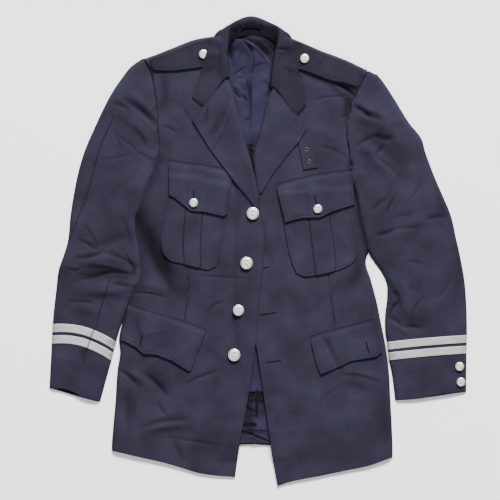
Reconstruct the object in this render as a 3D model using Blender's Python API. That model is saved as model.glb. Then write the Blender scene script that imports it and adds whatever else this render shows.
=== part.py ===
"""Fire service dress jacket, laid out flat on its back with the front buttoned over.

Every cut piece is a thin wall in its true outline, laid on the pieces below it. The tables are in
millimetres. +X is the wearer's left, +Y runs to the collar and +Z is up from the surface it lies on.
"""

import math
from collections import namedtuple

import bmesh
import bpy
import numpy as np

MM = 0.001
SEAM = 0.4  # gap between neighbours, and between a piece and what it lies on
HEAD_GAP = 1.7  # between a sleeve head and the armhole, which are cut to different curves
BRAID_GAP = 0.6  # between a braid and its sleeve, whose folded edges are steep
BACK_WALL = 2.0
FRONT_WALL = 3.0  # cloth, canvas and facing together
LINING_WALL = 1.0
FACING_WALL = 1.5
LAPEL_WALL = 2.2
COLLAR_WALL = 2.6
POCKET_WALL = 1.8
FLAP_WALL = 2.2
TAB_WALL = 1.6
STRAP_WALL = 3.0
LOOP_WALL = 1.2
UNDER_SLEEVE_WALL = 1.8
TOP_SLEEVE_WALL = 2.2
BRAID_WALL = 1.0
CLEARANCE = 0.3  # least gap to the pile at a corner that had to be lifted
LEAST_WALL = 0.35  # and least wall there
FOLD_RADIUS = 8.0  # where a panel turns down at a shoulder line, side or sleeve edge
ROLL_RADIUS = 6.0  # where a lapel turns at its roll line
FOLD_INSET = 5.5  # how far the layer below stays inside a folded edge
ARMHOLE_INSET = 1.2  # how far a back stays inside the armhole
FOLDED_SHARE = 0.18  # of its height that a panel keeps at the very edge of a fold
HEM_LOFT = 0.8  # fullness of a front at the hip
CHEST_LOFT = 3.0  # and at the chest
HIP_Y, CHEST_Y = -150, 250
EDGE_SHARE = 0.15  # of its fullness that a front has at its edge
EDGE_REACH = 55  # how far in from the edge the fullness grows
SLEEVE_LOFT = 3.2  # fullness of a sleeve at its head
CUFF_SHARE = 0.35  # of it at the cuff
PLEAT_RISE = 1.2
PLEAT_STEP = 0.012  # half of a pleat's edge, as a share of its pocket
ORIGIN = np.array([0.8, -0.1, 0.0])  # the middle of the whole outline, under the jacket

# Half sections of the body, from the collar to the hem: where the armhole or side and the front edge
# are on each side
Level = namedtuple("Level", "y side_right edge_right edge_left side_left")
LEVELS = [
    Level(350, None, -63, 42, None),
    Level(330, -194.5, -62, 37.5, None),
    Level(313, -185.5, -59, 34.5, 190),
    Level(290, -182, -53, 29, 178),
    Level(260, -177.5, -43.3, 20, 165),
    Level(229, -176, -35.2, 11, 158),
    Level(199, -173.5, -27, 3.5, 155.5),
    Level(177, -172.5, -21, -3, 159),
    Level(154, -178.5, -13.5, -6, 161.5),
    Level(131, -192.5, -9, -6, 167.5),
    Level(110, -212, -4.8, -6.3, 191),
    Level(103, -214.5, -3.5, -6.4, 205),
    Level(78, -219, 1, -7, 208),
    Level(45, -220.3, 8.8, -8, 205.8),
    Level(5, -219.2, 11, -9, 195),
    Level(-18, -218, 9.6, -9.7, 188),
    Level(-51, -219.8, 6, -10.5, 197),
    Level(-90, -228, 1.2, -11, 207.3),
    Level(-126, -237, -1.9, -10, 214.5),
    Level(-156, -242.5, -3.4, -5.5, 220.8),
    Level(-173, -240.5, -5.5, -2.4, 223.6),
    Level(-208, -245, -10, 3.4, 228),
    Level(-261, -248.5, -18, 10.7, 231),
    Level(-313, -253, -28, 18.3, 233.7),
    Level(-345, -254.8, -33, 22.6, 234.8),
]
ARMPIT_Y = dict(right=110, left=103)
SIGN = dict(right=1, left=-1)  # the side of a downward line on which the body lies
SHOULDER = dict(
    right=[(-72, 375), (-107, 369.5), (-154, 352), (-189, 338.5), (-199.5, 335)],
    left=[(56, 372), (73.5, 365), (108.5, 350), (152, 333.5), (191, 315)],
)
NECK = dict(right=[(-72, 375), (-66, 364)], left=[(56, 372), (47, 362)])
HEM = dict(
    right=[(-40, -394), (-68, -392), (-101.5, -387.5), (-136.5, -377), (-166, -368.5), (-206.5, -359.5),
           (-254.5, -348)],
    left=[(34, -409.5), (52.5, -403.5), (108.5, -392), (152, -383), (192.5, -374.5), (234.5, -359)],
)
BACK_NECK = dict(
    right=[(-10.7, 372), (-27, 369), (-40, 359), (-60, 353), (-80, 362)],
    left=[(-10.3, 372), (9, 369), (22, 357), (44, 351), (66, 357)],
)
BACK_HEM = dict(
    right=[(-5.2, -337), (-145, -341), (-249, -346.5)],
    left=[(-4.8, -337), (126, -346.5), (229, -355)],
)

# The folds and hollows that show from a step away: from, to, width and height
Fold = namedtuple("Fold", "x0 y0 x1 y1 width height")
FRONT_FOLDS = dict(
    right=[
        Fold(-201, 40, -152, -60, 24, -2.4),
        Fold(-190, -70, -120, -62, 18, 1.6),
        Fold(-194, -200, -154, -254, 18, -2.2),
        Fold(-215, -225, -190, -330, 20, 2.4),
        Fold(-198, -304, -101, -298, 20, 2.4),
        Fold(-130, -345, -60, -330, 22, -1.6),
        Fold(-75, -120, -55, -260, 22, 1.6),
    ],
    left=[
        Fold(100, -86, 152, -33, 22, 2.2),
        Fold(70, -60, 60, -190, 24, 1.6),
        Fold(135, -215, 213, -236, 18, 2.4),
        Fold(160, -250, 170, -340, 22, 2.2),
        Fold(90, -240, 80, -370, 24, 1.8),
        Fold(215, -245, 222, -340, 18, -1.8),
        Fold(130, 270, 150, 200, 20, 1.4),
    ],
)
SLEEVE_FOLDS = dict(
    right=[
        Fold(-322, -12, -212, -17, 15, 3.4),
        Fold(-300, 6, -222, 26, 13, -2.2),
        Fold(-330, -42, -218, -46, 13, -2.4),
        Fold(-322, -62, -235, -72, 14, 2.6),
        Fold(-240, 262, -186, 190, 16, 2.4),
        Fold(-272, 150, -240, 20, 22, 1.6),
        Fold(-318, -95, -262, -110, 14, 1.8),
    ],
    left=[
        Fold(172, 262, 262, 172, 14, 2.6),
        Fold(165, 222, 250, 150, 14, -2.2),
        Fold(178, 190, 238, 118, 15, 2.4),
        Fold(262, 130, 210, 30, 16, 1.8),
        Fold(300, 66, 232, 22, 16, 2.0),
        Fold(232, -64, 262, -110, 13, 2.8),
        Fold(330, 20, 320, -110, 22, 1.6),
        Fold(240, -120, 300, -135, 13, -1.8),
    ],
)

# Sections across each sleeve, from the head to the cuff
Section = namedtuple("Section", "inner_x inner_y outer_x outer_y")
SLEEVE = dict(
    right=[
        Section(-180.5, 160, -204, 334), Section(-189, 133, -222, 321), Section(-196, 107, -238, 301),
        Section(-206.5, 77, -255.5, 275), Section(-215, 54, -269.5, 248.5), Section(-213.5, 33, -285, 215),
        Section(-208, 2, -301, 178.5), Section(-205.5, -30, -312.5, 142), Section(-207, -52.5, -320, 107),
        Section(-219, -70, -327, 63), Section(-226, -89, -332.5, 14), Section(-233, -114, -339.5, -9),
        Section(-241.5, -138, -347, -30), Section(-247, -157.5, -352, -68), Section(-255.5, -191, -357, -112),
        Section(-266, -229, -361, -185), Section(-275, -262.5, -364, -240),
    ],
    left=[
        Section(164, 151, 193.5, 314), Section(163.5, 128, 210, 304.5), Section(169, 107, 222, 289.5),
        Section(175, 80.5, 236, 268), Section(180, 54, 262.5, 225), Section(189, 19, 287, 191),
        Section(194, -5, 290.5, 177), Section(203, -20, 301, 147), Section(215, -37, 313, 117),
        Section(224, -56, 324.5, 91), Section(225, -80.5, 336, 63), Section(221.5, -112, 345, 24.5),
        Section(222, -143.5, 353.5, -14), Section(226, -168, 360, -51), Section(228.5, -191, 363.5, -94.5),
        Section(233.5, -215, 364.5, -138), Section(236.5, -238, 363.5, -190), Section(239, -260, 363, -246),
    ],
)
CUFF = dict(
    right=[(-275, -262.5), (-290.5, -260), (-308, -254), (-322, -246), (-339.5, -241), (-364, -240)],
    left=[(239, -260), (257, -259.5), (283.5, -257), (310, -252), (336, -248.5), (363, -246)],
)
UNDER_CUFF = dict(
    right=[(-280, -263), (-308, -257), (-322, -253.5), (-339.5, -249), (-358, -244.5)],
    left=[(245, -258), (283, -255), (357, -244.5)],
)
# Where the upper braid's upper edge crosses the sleeve's inner side, middle and outer side, and then the
# width of each of the two braids and the gap between them
Braid = namedtuple("Braid", "inner_y middle_y outer_y width gap")
BRAID = dict(right=Braid(-158.5, -132.8, -127.5, 14.5, 5.3), left=Braid(-158.7, -151.5, -146.5, 13.4, 5.2))
ROWS_ABOVE_BRAID = 16  # grid lines across a sleeve from its head to the braids
SLEEVE_CLEAR_Y = -160  # below this a sleeve lies clear of the body
UNDER_SLEEVE_GAP = 2.5  # between an under sleeve and the body above that

# Collar sections from the wearer's right tip round the back of the neck to the left tip: the fall's edge,
# the roll and the foot of the stand, each in plan with its height
Rib = namedtuple("Rib", "name edge_x edge_y edge_z roll_x roll_y roll_z foot_x foot_y foot_z nose")
COLLAR = [
    Rib("tip_right", -115, 267, 0, -52.5, 302, 11.5, -51, 301, 6, 2.6),
    Rib("leaf_right", -106, 290, 0, -54, 322, 12.5, -52, 321, 6.2, 2.6),
    Rib("neck_right", -96, 325, 0, -56, 345, 14, -53.5, 344, 6.5, 3),
    Rib("side_right", -85, 357, 0, -54.5, 366, 15, -49, 361, 7, 4),
    Rib("shoulder_right", -63.5, 381, 7, -45, 387, 13.5, -41, 370, 7, 5),
    Rib("back_right", -31.5, 360.5, 1.3, -31.5, 403, 7, -30, 374, 5.6, 5.5),
    Rib("centre", -9, 357, 1.3, -9, 408, 6.6, -9, 375.5, 5.4, 5.5),
    Rib("back_left", 17, 358, 1.3, 18, 398, 7, 14, 373, 5.6, 5.5),
    Rib("shoulder_left", 50, 379, 7, 34, 384, 13.5, 27, 367, 7, 5),
    Rib("side_left", 63, 357, 0, 36.5, 364, 15, 31.5, 359, 7, 4),
    Rib("neck_left", 68, 325, 0, 31.5, 342, 14, 29.5, 341, 6.5, 3),
    Rib("leaf_left", 77, 295, 0, 26, 312, 12.5, 24.5, 311, 6.2, 2.6),
    Rib("tip_left", 83, 253, 0, 24, 285, 11.5, 22.8, 284, 6, 2.6),
]
COLLAR_STEPS = 3  # sections between one rib and the next
FALL_OVER = 3.4  # ribs from each tip over which the fall lies on the fronts
FALL_UNDER = 4.4  # ribs from each tip past which it lies under the backs
FALL_LINES = (0.35, 0.7)  # where the fall's two middle lines lie between its edge and the roll
NOSE_SPREAD = 0.56  # how far the roll bulges to each side, as a share of its nose
NOTCH_REACH = 0.85  # ribs from each tip over which the tip is drawn to the notch
COLLAR_NOTCH = dict(right=(-93, 252), left=(66, 237))

LAPEL = dict(
    right=dict(
        gorge=[(-51, 300.5), (-92.3, 249.8), (-114, 226)],
        roll=[(-51, 300.5), (-46.5, 285), (-40, 261), (-30, 222), (-18.5, 180), (-7, 138), (-2, 114), (2, 92),
              (1, 76)],
        edge=[(-114, 226), (-84, 177), (-63, 149), (-44, 124), (-23, 98), (-4.5, 75)],
    ),
    left=dict(
        gorge=[(22.5, 283), (65, 235.2), (84, 210)],
        roll=[(22.5, 283), (17.8, 268), (8, 231), (1, 203), (-6.5, 177), (-9.5, 160), (-5, 133), (0, 101.5)],
        edge=[(84, 210), (72, 191.5), (47, 161), (24.5, 131), (7, 101)],
    ),
)
STRAP = dict(
    right=dict(upper=[(-80.5, 371), (-107, 364.5), (-154, 347), (-188, 334)],
               lower=[(-84, 324), (-98, 320), (-124, 316), (-154, 313), (-182, 314)]),
    left=dict(upper=[(63, 366), (73.5, 362), (108.5, 346.5), (152, 330.5), (183.5, 315)],
              lower=[(68, 317), (91, 310), (108.5, 303), (135, 294), (152, 291.5), (172, 285)]),
)
POCKET = dict(
    right=dict(
        top=[(-155, 130), (-48, 112)],
        outer=[(-155, 130), (-156.5, 96), (-163, 72), (-168.5, 37), (-169.5, 14), (-165, -5)],
        foot=[(-165, -5), (-155, -16), (-133, -22.5), (-108.5, -28.5), (-86, -33), (-72.5, -27)],
        inner=[(-48, 112), (-55, 61), (-59.5, 31.5), (-65, 2), (-67, -14), (-72.5, -27)],
        pleat=(0.30, 0.55, 0.43, 0.69),
    ),
    left=dict(
        top=[(164.5, 107), (35, 98)],
        outer=[(164.5, 107), (166, 63), (171.5, 28), (174, 5), (172.5, -9), (166, -20)],
        foot=[(166, -20), (152, -29), (126, -37.5), (100, -43), (79, -44.5), (66.5, -38.5)],
        inner=[(35, 98), (44, 52.5), (51, 10.5), (58, -19), (66.5, -38.5)],
        pleat=(0.35, 0.605, 0.35, 0.66),
    ),
)
BREAST_FLAP = dict(
    right=dict(
        top=[(-157.5, 160), (-128, 155), (-93, 150), (-44, 142)],
        outer=[(-157.5, 160), (-155.5, 133), (-155, 97)],
        foot=[(-155, 97), (-143.5, 91), (-116.5, 69), (-93, 67.5), (-59.5, 59.5), (-54, 64)],
        inner=[(-44, 142), (-47, 115), (-51, 90), (-54, 64)],
    ),
    left=dict(
        top=[(164, 142), (108.5, 135.5), (73.5, 128), (30.5, 117)],
        outer=[(164, 142), (166, 110), (167.5, 80)],
        foot=[(167.5, 80), (147, 74), (128, 67.5), (108.5, 58), (79, 57), (59.5, 52.5), (47, 49)],
        inner=[(30.5, 117), (37, 89), (44, 61), (47, 49)],
    ),
)
HIP_FLAP = dict(
    right=dict(
        top=[(-226, -91), (-189, -105), (-154, -114.5), (-128, -122.5), (-90, -136.5)],
        outer=[(-226, -91), (-232, -125), (-239.5, -155)],
        foot=[(-239.5, -155), (-226, -161), (-214.5, -167), (-199.5, -180), (-177, -181), (-150, -191.5),
              (-121, -210), (-116.5, -208)],
        inner=[(-90, -136.5), (-96, -153), (-107, -182), (-116.5, -208)],
    ),
    left=dict(
        top=[(202, -118), (187, -121.5), (152, -131), (117, -140), (90, -148)],
        outer=[(202, -118), (209, -147), (216, -177)],
        foot=[(216, -177), (206.5, -184.5), (187, -188), (161, -192.5), (143.5, -201), (109, -216)],
        inner=[(90, -148), (96, -177), (105, -206.5), (109, -216)],
    ),
)
BADGE_TAB = dict(top=[(69, 192), (96, 193)], foot=[(79, 140.5), (105, 145)])
EYELETS = dict(upper=(85, 177), lower=(89.5, 156))
HANGER_LOOP = dict(top=[(-28, 394), (-10, 396), (8, 394)], foot=[(-28, 388), (-10, 390), (8, 388)])
NECK_LINING = dict(
    top=[(-46, 353), (-29, 367), (-9, 371), (11, 367), (28, 351)],
    right=[(-46, 353), (-54, 325), (-54, 300), (-44, 262), (-30, 200), (-22, 140)],
    left=[(28, 351), (36, 325), (35, 300), (27, 262), (16, 200), (8, 140)],
    foot=[(-22, 140), (8, 140)],
)
VENT_LINING = dict(
    top=[(-24, -140), (18, -140)],
    right=[(-24, -140), (-34, -240), (-48, -312)],
    left=[(18, -140), (30, -240), (42, -312)],
    foot=[(-48, -312), (42, -312)],
)
HEM_FACING = dict(
    top=[(-49, -313), (43, -313)],
    right=[(-49, -313), (-51, -335)],
    left=[(43, -313), (45, -335)],
    foot=[(-51, -335), (45, -335)],
)

# Buttons: where, and how large. The collar lies on the edge of the right strap's.
Button = namedtuple("Button", "name x y radius")
STRAP_BUTTON = dict(
    right=Button("strap_button_right", -94.4, 343.7, 8.5),
    left=Button("strap_button_left", 81, 336, 8.5),
)
BUTTONS = [
    Button("front_button_1", -9, 65.5, 11),
    Button("front_button_2", -20, -21, 11),
    Button("front_button_3", -34, -103, 11),
    Button("front_button_4", -41.5, -181, 11),
    Button("pocket_button_right", -112, 84, 8),
    Button("pocket_button_left", 104, 73.5, 8),
    Button("cuff_button_upper", 351, -201, 8),
    Button("cuff_button_lower", 353.5, -228, 8),
]
# The section of a domed shank button, as shares of its radius, from the foot of the shank to the crown
Turn = namedtuple("Turn", "radius height")
BUTTON_SECTION = [Turn(0.0, 0.0), Turn(0.26, 0.0), Turn(0.26, 0.2), Turn(0.93, 0.24), Turn(1.0, 0.32),
                  Turn(0.94, 0.41), Turn(0.6, 0.51), Turn(0.0, 0.55)]
SHANK_TURNS = 3  # rows of it that belong to the shank
EYELET_SECTION = [Turn(1.2, 0.0), Turn(2.6, 0.0), Turn(2.2, 0.8), Turn(1.2, 0.8)]  # in millimetres
ROUND_SIDES = 12

Finish = namedtuple("Finish", "red green blue roughness metallic")
WOOL = Finish(0.040, 0.039, 0.068, 0.85, 0.0)
SATIN = Finish(0.060, 0.056, 0.115, 0.40, 0.0)
SILVER_BRAID = Finish(0.46, 0.47, 0.46, 0.45, 0.3)
SILVER = Finish(0.66, 0.66, 0.64, 0.25, 1.0)


def curve_at(points, shares, smooth=True):
    """Points along the line through the given ones, at shares of its length."""
    points = np.array(points, float)
    steps = np.linalg.norm(np.diff(points, axis=0), axis=1)
    at = np.concatenate([[0.0], np.cumsum(steps)])
    where = np.clip(np.asarray(shares, float), 0, 1) * at[-1]
    if not smooth or len(points) == 2:
        return np.stack([np.interp(where, at, points[:, k]) for k in range(points.shape[1])], -1)
    slope = np.gradient(points, at, axis=0)
    i = np.clip(np.searchsorted(at, where, side="right") - 1, 0, len(points) - 2)
    span = (at[i + 1] - at[i])[..., None]
    w = (where - at[i])[..., None] / span
    return (
        points[i] * (2 * w**3 - 3 * w**2 + 1)
        + slope[i] * span * (w**3 - 2 * w**2 + w)
        + points[i + 1] * (3 * w**2 - 2 * w**3)
        + slope[i + 1] * span * (w**3 - w**2)
    )


def corner_shares(points):
    """The shares of its length at which a line has its points."""
    steps = np.linalg.norm(np.diff(np.array(points, float), axis=0), axis=1)
    return np.concatenate([[0.0], np.cumsum(steps)]) / steps.sum()


def length_of(points):
    return float(np.linalg.norm(np.diff(np.array(points, float), axis=0), axis=1).sum())


def inset(points, distance, side):
    """The same line moved sideways: to its left for side 1, to its right for side -1."""
    points = np.array(points, float)
    along = np.gradient(points, axis=0)
    along /= np.linalg.norm(along, axis=1)[:, None]
    return points + side * distance * np.stack([-along[:, 1], along[:, 0]], -1)


def patch(top, foot, start, end, u, v, sharp=()):
    """A grid filled in between four edges. u runs along top and foot, v along start and end."""
    if np.ndim(u) == 1:
        u, v = np.meshgrid(u, v, indexing="ij")
    t, f = (curve_at(line, u, name not in sharp) for name, line in (("top", top), ("foot", foot)))
    s, e = (curve_at(line, v, name not in sharp) for name, line in (("start", start), ("end", end)))
    u, v = u[..., None], v[..., None]
    corners = np.array([top[0], top[-1], foot[0], foot[-1]], float)
    return (
        (1 - v) * t + v * f + (1 - u) * s + u * e
        - (1 - u) * (1 - v) * corners[0] - u * (1 - v) * corners[1]
        - (1 - u) * v * corners[2] - u * v * corners[3]
    )


def shares(count, *extra):
    """Even steps from 0 to 1 with some more between them."""
    return np.unique(np.round(np.concatenate([np.linspace(0, 1, count), *map(np.atleast_1d, extra)]), 4))


def near_edge(length, radius=FOLD_RADIUS):
    """Shares of a line that follow a folded edge's round."""
    return np.array([0.1, 0.35, 1.0]) * radius / length


def spaced(count, length, first=False, last=False):
    """Even shares along a length, closer where the panel turns down at its first or last edge."""
    turn = np.append(0.0, near_edge(length))
    apart = 1.3 * turn[-1]
    even = np.linspace(0, 1, count)
    if first:
        even = np.append(turn, even[even > apart])
    if last:
        even = np.append(even[even < 1 - apart], 1 - turn)
    return np.unique(np.round(even, 5))


def distance_to(points, line):
    """How far each point is from a line of straight stretches."""
    best = np.full(points.shape[:-1], np.inf)
    line = np.array(line, float)
    for a, b in zip(line[:-1], line[1:]):
        along = b - a
        share = np.clip(((points - a) @ along) / (along @ along), 0, 1)
        best = np.minimum(best, np.linalg.norm(points - a - share[..., None] * along, axis=-1))
    return best


def fold_height(grid, folds):
    height = np.zeros(grid.shape[:-1])
    for fold in folds:
        away = distance_to(grid, [(fold.x0, fold.y0), (fold.x1, fold.y1)])
        height += fold.height * np.exp(-((away / fold.width) ** 2) * 2)
    return height


def grid_triangles(count_u, count_v):
    """The triangles of a grid's points, numbered along v first."""
    i, j = np.meshgrid(np.arange(count_u - 1), np.arange(count_v - 1), indexing="ij")
    a = (i * count_v + j).ravel()
    b, c, d = a + count_v, a + count_v + 1, a + 1
    return np.concatenate([np.stack([a, b, c], -1), np.stack([a, c, d], -1)])


def spread(corners, spacing):
    """Points spread over each triangle, with the number of the triangle that each lies in."""
    sides = np.linalg.norm(corners - np.roll(corners, 1, axis=1), axis=2).max(axis=1)
    steps = np.maximum(1, np.ceil(sides / spacing).astype(int))
    points, owners = [], []
    for n in np.unique(steps):
        chosen = np.flatnonzero(steps == n)
        i, j = np.meshgrid(np.arange(n + 1), np.arange(n + 1), indexing="ij")
        inside = i + j <= n
        weights = np.stack([i[inside], j[inside], n - i[inside] - j[inside]], -1) / n
        points.append(np.einsum("wk,tkd->twd", weights, corners[chosen]).reshape(-1, 3))
        owners.append(np.repeat(chosen, len(weights)))
    return np.concatenate(points), np.concatenate(owners)


class Pile:
    """How high the laid pieces reach, as a map of heights in small square cells."""

    CELL = 1.5
    LOW = np.array([-390.0, -432.0])
    SIZE = (520, 575)
    FILL_STEP = 0.8  # spacing of the points that raise the cells
    PROBE_STEP = 1.2  # spacing of the points at which a wall is tested
    BODY_MIDDLE = 4
    ARMHOLE_X = 148  # from the body's middle
    ARMHOLE_Y = 165

    def __init__(self, height=None):
        self.height = np.full(self.SIZE, -SEAM) if height is None else height

    def copy(self):
        return Pile(self.height.copy())

    def cells(self, points):
        cell = np.rint((points[..., :2] - self.LOW) / self.CELL).astype(int)
        return tuple(np.clip(cell[..., k], 1, self.SIZE[k] - 2) for k in range(2))

    def lay(self, corners):
        self.raise_to(spread(corners, self.FILL_STEP)[0])

    def raise_to(self, points):
        np.maximum.at(self.height, self.cells(points), points[..., 2])

    def top(self, points):
        """The highest place in and next to each point's cell."""
        i, j = self.cells(points)
        around = [self.height[i + di, j + dj] for di in (-1, 0, 1) for dj in (-1, 0, 1)]
        return np.max(around, axis=0)

    def bridge(self, slope=0.25, reach=30.0):
        """The pile with its steps eased out, as cloth spans them."""
        eased = self.height.copy()
        for _ in range(int(reach / self.CELL)):
            for shift in ((1, 0), (-1, 0), (0, 1), (0, -1)):
                eased = np.maximum(eased, np.roll(eased, shift, (0, 1)) - slope * self.CELL)
        for _ in range(4):
            eased = sum(np.roll(eased, s, a) for s, a in ((1, 0), (-1, 0), (1, 1), (-1, 1), (0, 0))) / 5
        return Pile(np.maximum(eased, self.height))

    def without_armholes(self):
        """The pile without the fronts beside the sleeve heads, which meet them edge to edge."""
        cleared = self.copy()
        x = self.LOW[0] + np.arange(self.SIZE[0]) * self.CELL
        y = self.LOW[1] + np.arange(self.SIZE[1]) * self.CELL
        beside = (np.abs(x - self.BODY_MIDDLE)[:, None] > self.ARMHOLE_X) & (y[None, :] > self.ARMHOLE_Y)
        cleared.height[beside] = np.minimum(cleared.height[beside], BACK_WALL)
        return cleared


def normals_of(grid):
    across, along = np.gradient(grid, axis=0), np.gradient(grid, axis=1)
    normal = np.cross(across, along)
    normal /= np.linalg.norm(normal, axis=-1)[..., None]
    return normal * np.sign(normal[..., 2:].sum() or 1.0)


def turned_down(grid, edges, radius):
    """The share of its height that a panel has: least at a folded edge, and 1 past its round."""
    depth = np.clip(min_distance(grid, edges) / radius, 0, 1) if edges else 1.0
    return FOLDED_SHARE + (1 - FOLDED_SHARE) * np.sqrt(1 - (1 - depth) ** 2)


def settle(pile, grid, thick, loft=0.0, folded=(), radius=FOLD_RADIUS):
    """The upper and lower points of a wall laid on the pile, turned down at its folded edges."""
    foot = pile.top(grid) + SEAM
    body = np.maximum(pile.bridge().top(grid) + SEAM, foot) + thick + loft
    share = turned_down(grid, folded, radius)
    upper = np.dstack([grid, foot + (body - foot) * share])
    down = np.zeros_like(upper)
    down[..., 2] = 1.0
    if folded:
        near = np.clip(2 - min_distance(grid, folded) / radius, 0, 1)[..., None]
        down = down * (1 - near) + normals_of(upper) * near
        down /= np.linalg.norm(down, axis=-1)[..., None]
    lower = upper - down * thick
    lower[..., 2] = np.maximum(lower[..., 2], pile.top(lower) + SEAM)
    return clear(pile, upper, lower)


def min_distance(grid, lines):
    return np.min([distance_to(grid, line) for line in lines], axis=0)


def clear(pile, upper, lower, where=None):
    """Lifts the corners of each triangle that would touch the pile, everywhere or at the given points."""
    triangles = grid_triangles(*lower.shape[:2])
    if where is not None:
        triangles = triangles[where.ravel()[triangles].all(axis=1)]
    for _ in range(2):
        flat = lower.reshape(-1, 3)
        points, owner = spread(flat[triangles], pile.PROBE_STEP)
        short = pile.top(points) + CLEARANCE - points[:, 2]
        need = np.zeros(len(triangles))
        np.maximum.at(need, owner, short)
        lift = np.zeros(len(flat))
        for k in range(3):
            np.maximum.at(lift, triangles[:, k], need)
        lift = lift.reshape(lower.shape[:2])
        lower[..., 2] += lift
        upper[..., 2] = np.maximum(upper[..., 2], lower[..., 2] + LEAST_WALL * (lift > 0))
    return upper, lower


def wall_mesh(upper, lower):
    """The points and triangles of the closed wall between two grids."""
    count_u, count_v = upper.shape[:2]
    faces = grid_triangles(count_u, count_v)
    n = count_u * count_v
    index = np.arange(n).reshape(count_u, count_v)
    rim = np.concatenate([index[:, 0], index[-1, 1:], index[-2::-1, -1], index[0, -2:0:-1]])
    after = np.roll(rim, -1)
    sides = np.concatenate([np.stack([rim, rim + n, after], -1), np.stack([after, rim + n, after + n], -1)])
    points = np.concatenate([upper.reshape(-1, 3), lower.reshape(-1, 3)])
    triangles = np.concatenate([faces, faces[:, ::-1] + n, sides])
    a, b, c = (points[triangles[:, k]] for k in range(3))
    if (a * np.cross(b, c)).sum() < 0:
        triangles = triangles[:, ::-1]
    return points, triangles


def material_of(name, finish):
    material = bpy.data.materials.new(name)
    material.use_nodes = True
    shader = material.node_tree.nodes["Principled BSDF"]
    shader.inputs["Base Color"].default_value = (finish.red, finish.green, finish.blue, 1)
    shader.inputs["Roughness"].default_value = finish.roughness
    shader.inputs["Metallic"].default_value = finish.metallic
    return material


def add_object(name, mesh, finish):
    mesh.materials.append(material_of(name + "_finish", finish))
    bpy.context.scene.collection.objects.link(bpy.data.objects.new(name, mesh))


def add_wall(name, upper, lower, finish=WOOL):
    """Makes the wall between two grids an object, in metres from the jacket's own origin."""
    points, triangles = wall_mesh(upper, lower)
    mesh = bpy.data.meshes.new(name)
    mesh.from_pydata((points - ORIGIN) * MM, [], triangles.tolist())
    mesh.update()
    mesh.shade_smooth()
    mesh.set_sharp_from_angle(angle=math.radians(35))
    add_object(name, mesh, finish)


def lay(piles, upper, lower):
    triangles = grid_triangles(*upper.shape[:2])
    for pile in piles:
        pile.lay(upper.reshape(-1, 3)[triangles])
        pile.lay(lower.reshape(-1, 3)[triangles])


def column(name, low=-math.inf, high=math.inf):
    """A line down the body from one column of the levels."""
    return [(getattr(row, name), row.y) for row in LEVELS
            if getattr(row, name) is not None and low < row.y < high]


def side_x(side, y):
    """Where the armhole or side of the body is at a height."""
    line = column("side_" + side)
    return np.interp(y, [p[1] for p in line[::-1]], [p[0] for p in line[::-1]])


def body_side(side):
    return [SHOULDER[side][-1], *column("side_" + side), HEM[side][-1]]


def front_grid(side):
    """The plan of a front, with u from its edge to its side and v from the shoulder to the hem."""
    edge = [*NECK[side], *column("edge_" + side), HEM[side][0]]
    outer = body_side(side)
    u = spaced(11, length_of(HEM[side]), last=True)
    v = spaced(24, length_of(edge), first=True)
    return patch(SHOULDER[side], HEM[side], edge, outer, u, v)


def back_grid(side):
    """The plan of a back, inside the fronts' folded edges."""
    shoulder = inset(SHOULDER[side][1:], FOLD_INSET, SIGN[side])
    top = [*BACK_NECK[side], *shoulder]
    armhole = column("side_" + side, low=ARMPIT_Y[side] - 1)
    sides = column("side_" + side, high=ARMPIT_Y[side] - 1)
    outer = [top[-1], *inset(armhole, ARMHOLE_INSET, SIGN[side]), *inset(sides, FOLD_INSET, SIGN[side]),
             BACK_HEM[side][-1]]
    centre = [BACK_NECK[side][0], BACK_HEM[side][0]]
    return patch(top, BACK_HEM[side], centre, outer, shares(8), shares(15),
                 sharp=("top", "end"))


def make_backs(piles):
    for side in ("right", "left"):
        upper, lower = settle(piles[0], back_grid(side), BACK_WALL)
        lay(piles, upper, lower)
        add_wall("back_" + side, upper, lower)


def make_linings(piles):
    for name, cut, wall, finish in (
        ("lining_neck", NECK_LINING, LINING_WALL, SATIN),
        ("lining_vent", VENT_LINING, LINING_WALL, SATIN),
        ("hem_facing", HEM_FACING, FACING_WALL, WOOL),
    ):
        grid = patch(cut["top"], cut["foot"], cut["right"], cut["left"], shares(6), shares(9))
        upper, lower = settle(piles[0], grid, wall)
        lay(piles, upper, lower)
        add_wall(name, upper, lower, finish)


def front_loft(side, grid):
    """More fullness at the chest than at the hem, and little at the front edge."""
    up = np.clip((grid[..., 1] - HIP_Y) / (CHEST_Y - HIP_Y), 0, 1)
    height = HEM_LOFT + (CHEST_LOFT - HEM_LOFT) * up + fold_height(grid, FRONT_FOLDS[side])
    return height * np.clip(EDGE_SHARE + distance_to(grid, grid[0]) / EDGE_REACH, 0, 1)


def make_front(side, piles):
    grid = front_grid(side)
    below_arm = grid[-1, grid[-1, :, 1] < ARMPIT_Y[side] + 12]
    upper, lower = settle(piles[0], grid, FRONT_WALL, front_loft(side, grid), [grid[:, 0], below_arm])
    lay(piles, upper, lower)
    add_wall("front_" + side, upper, lower)


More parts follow.
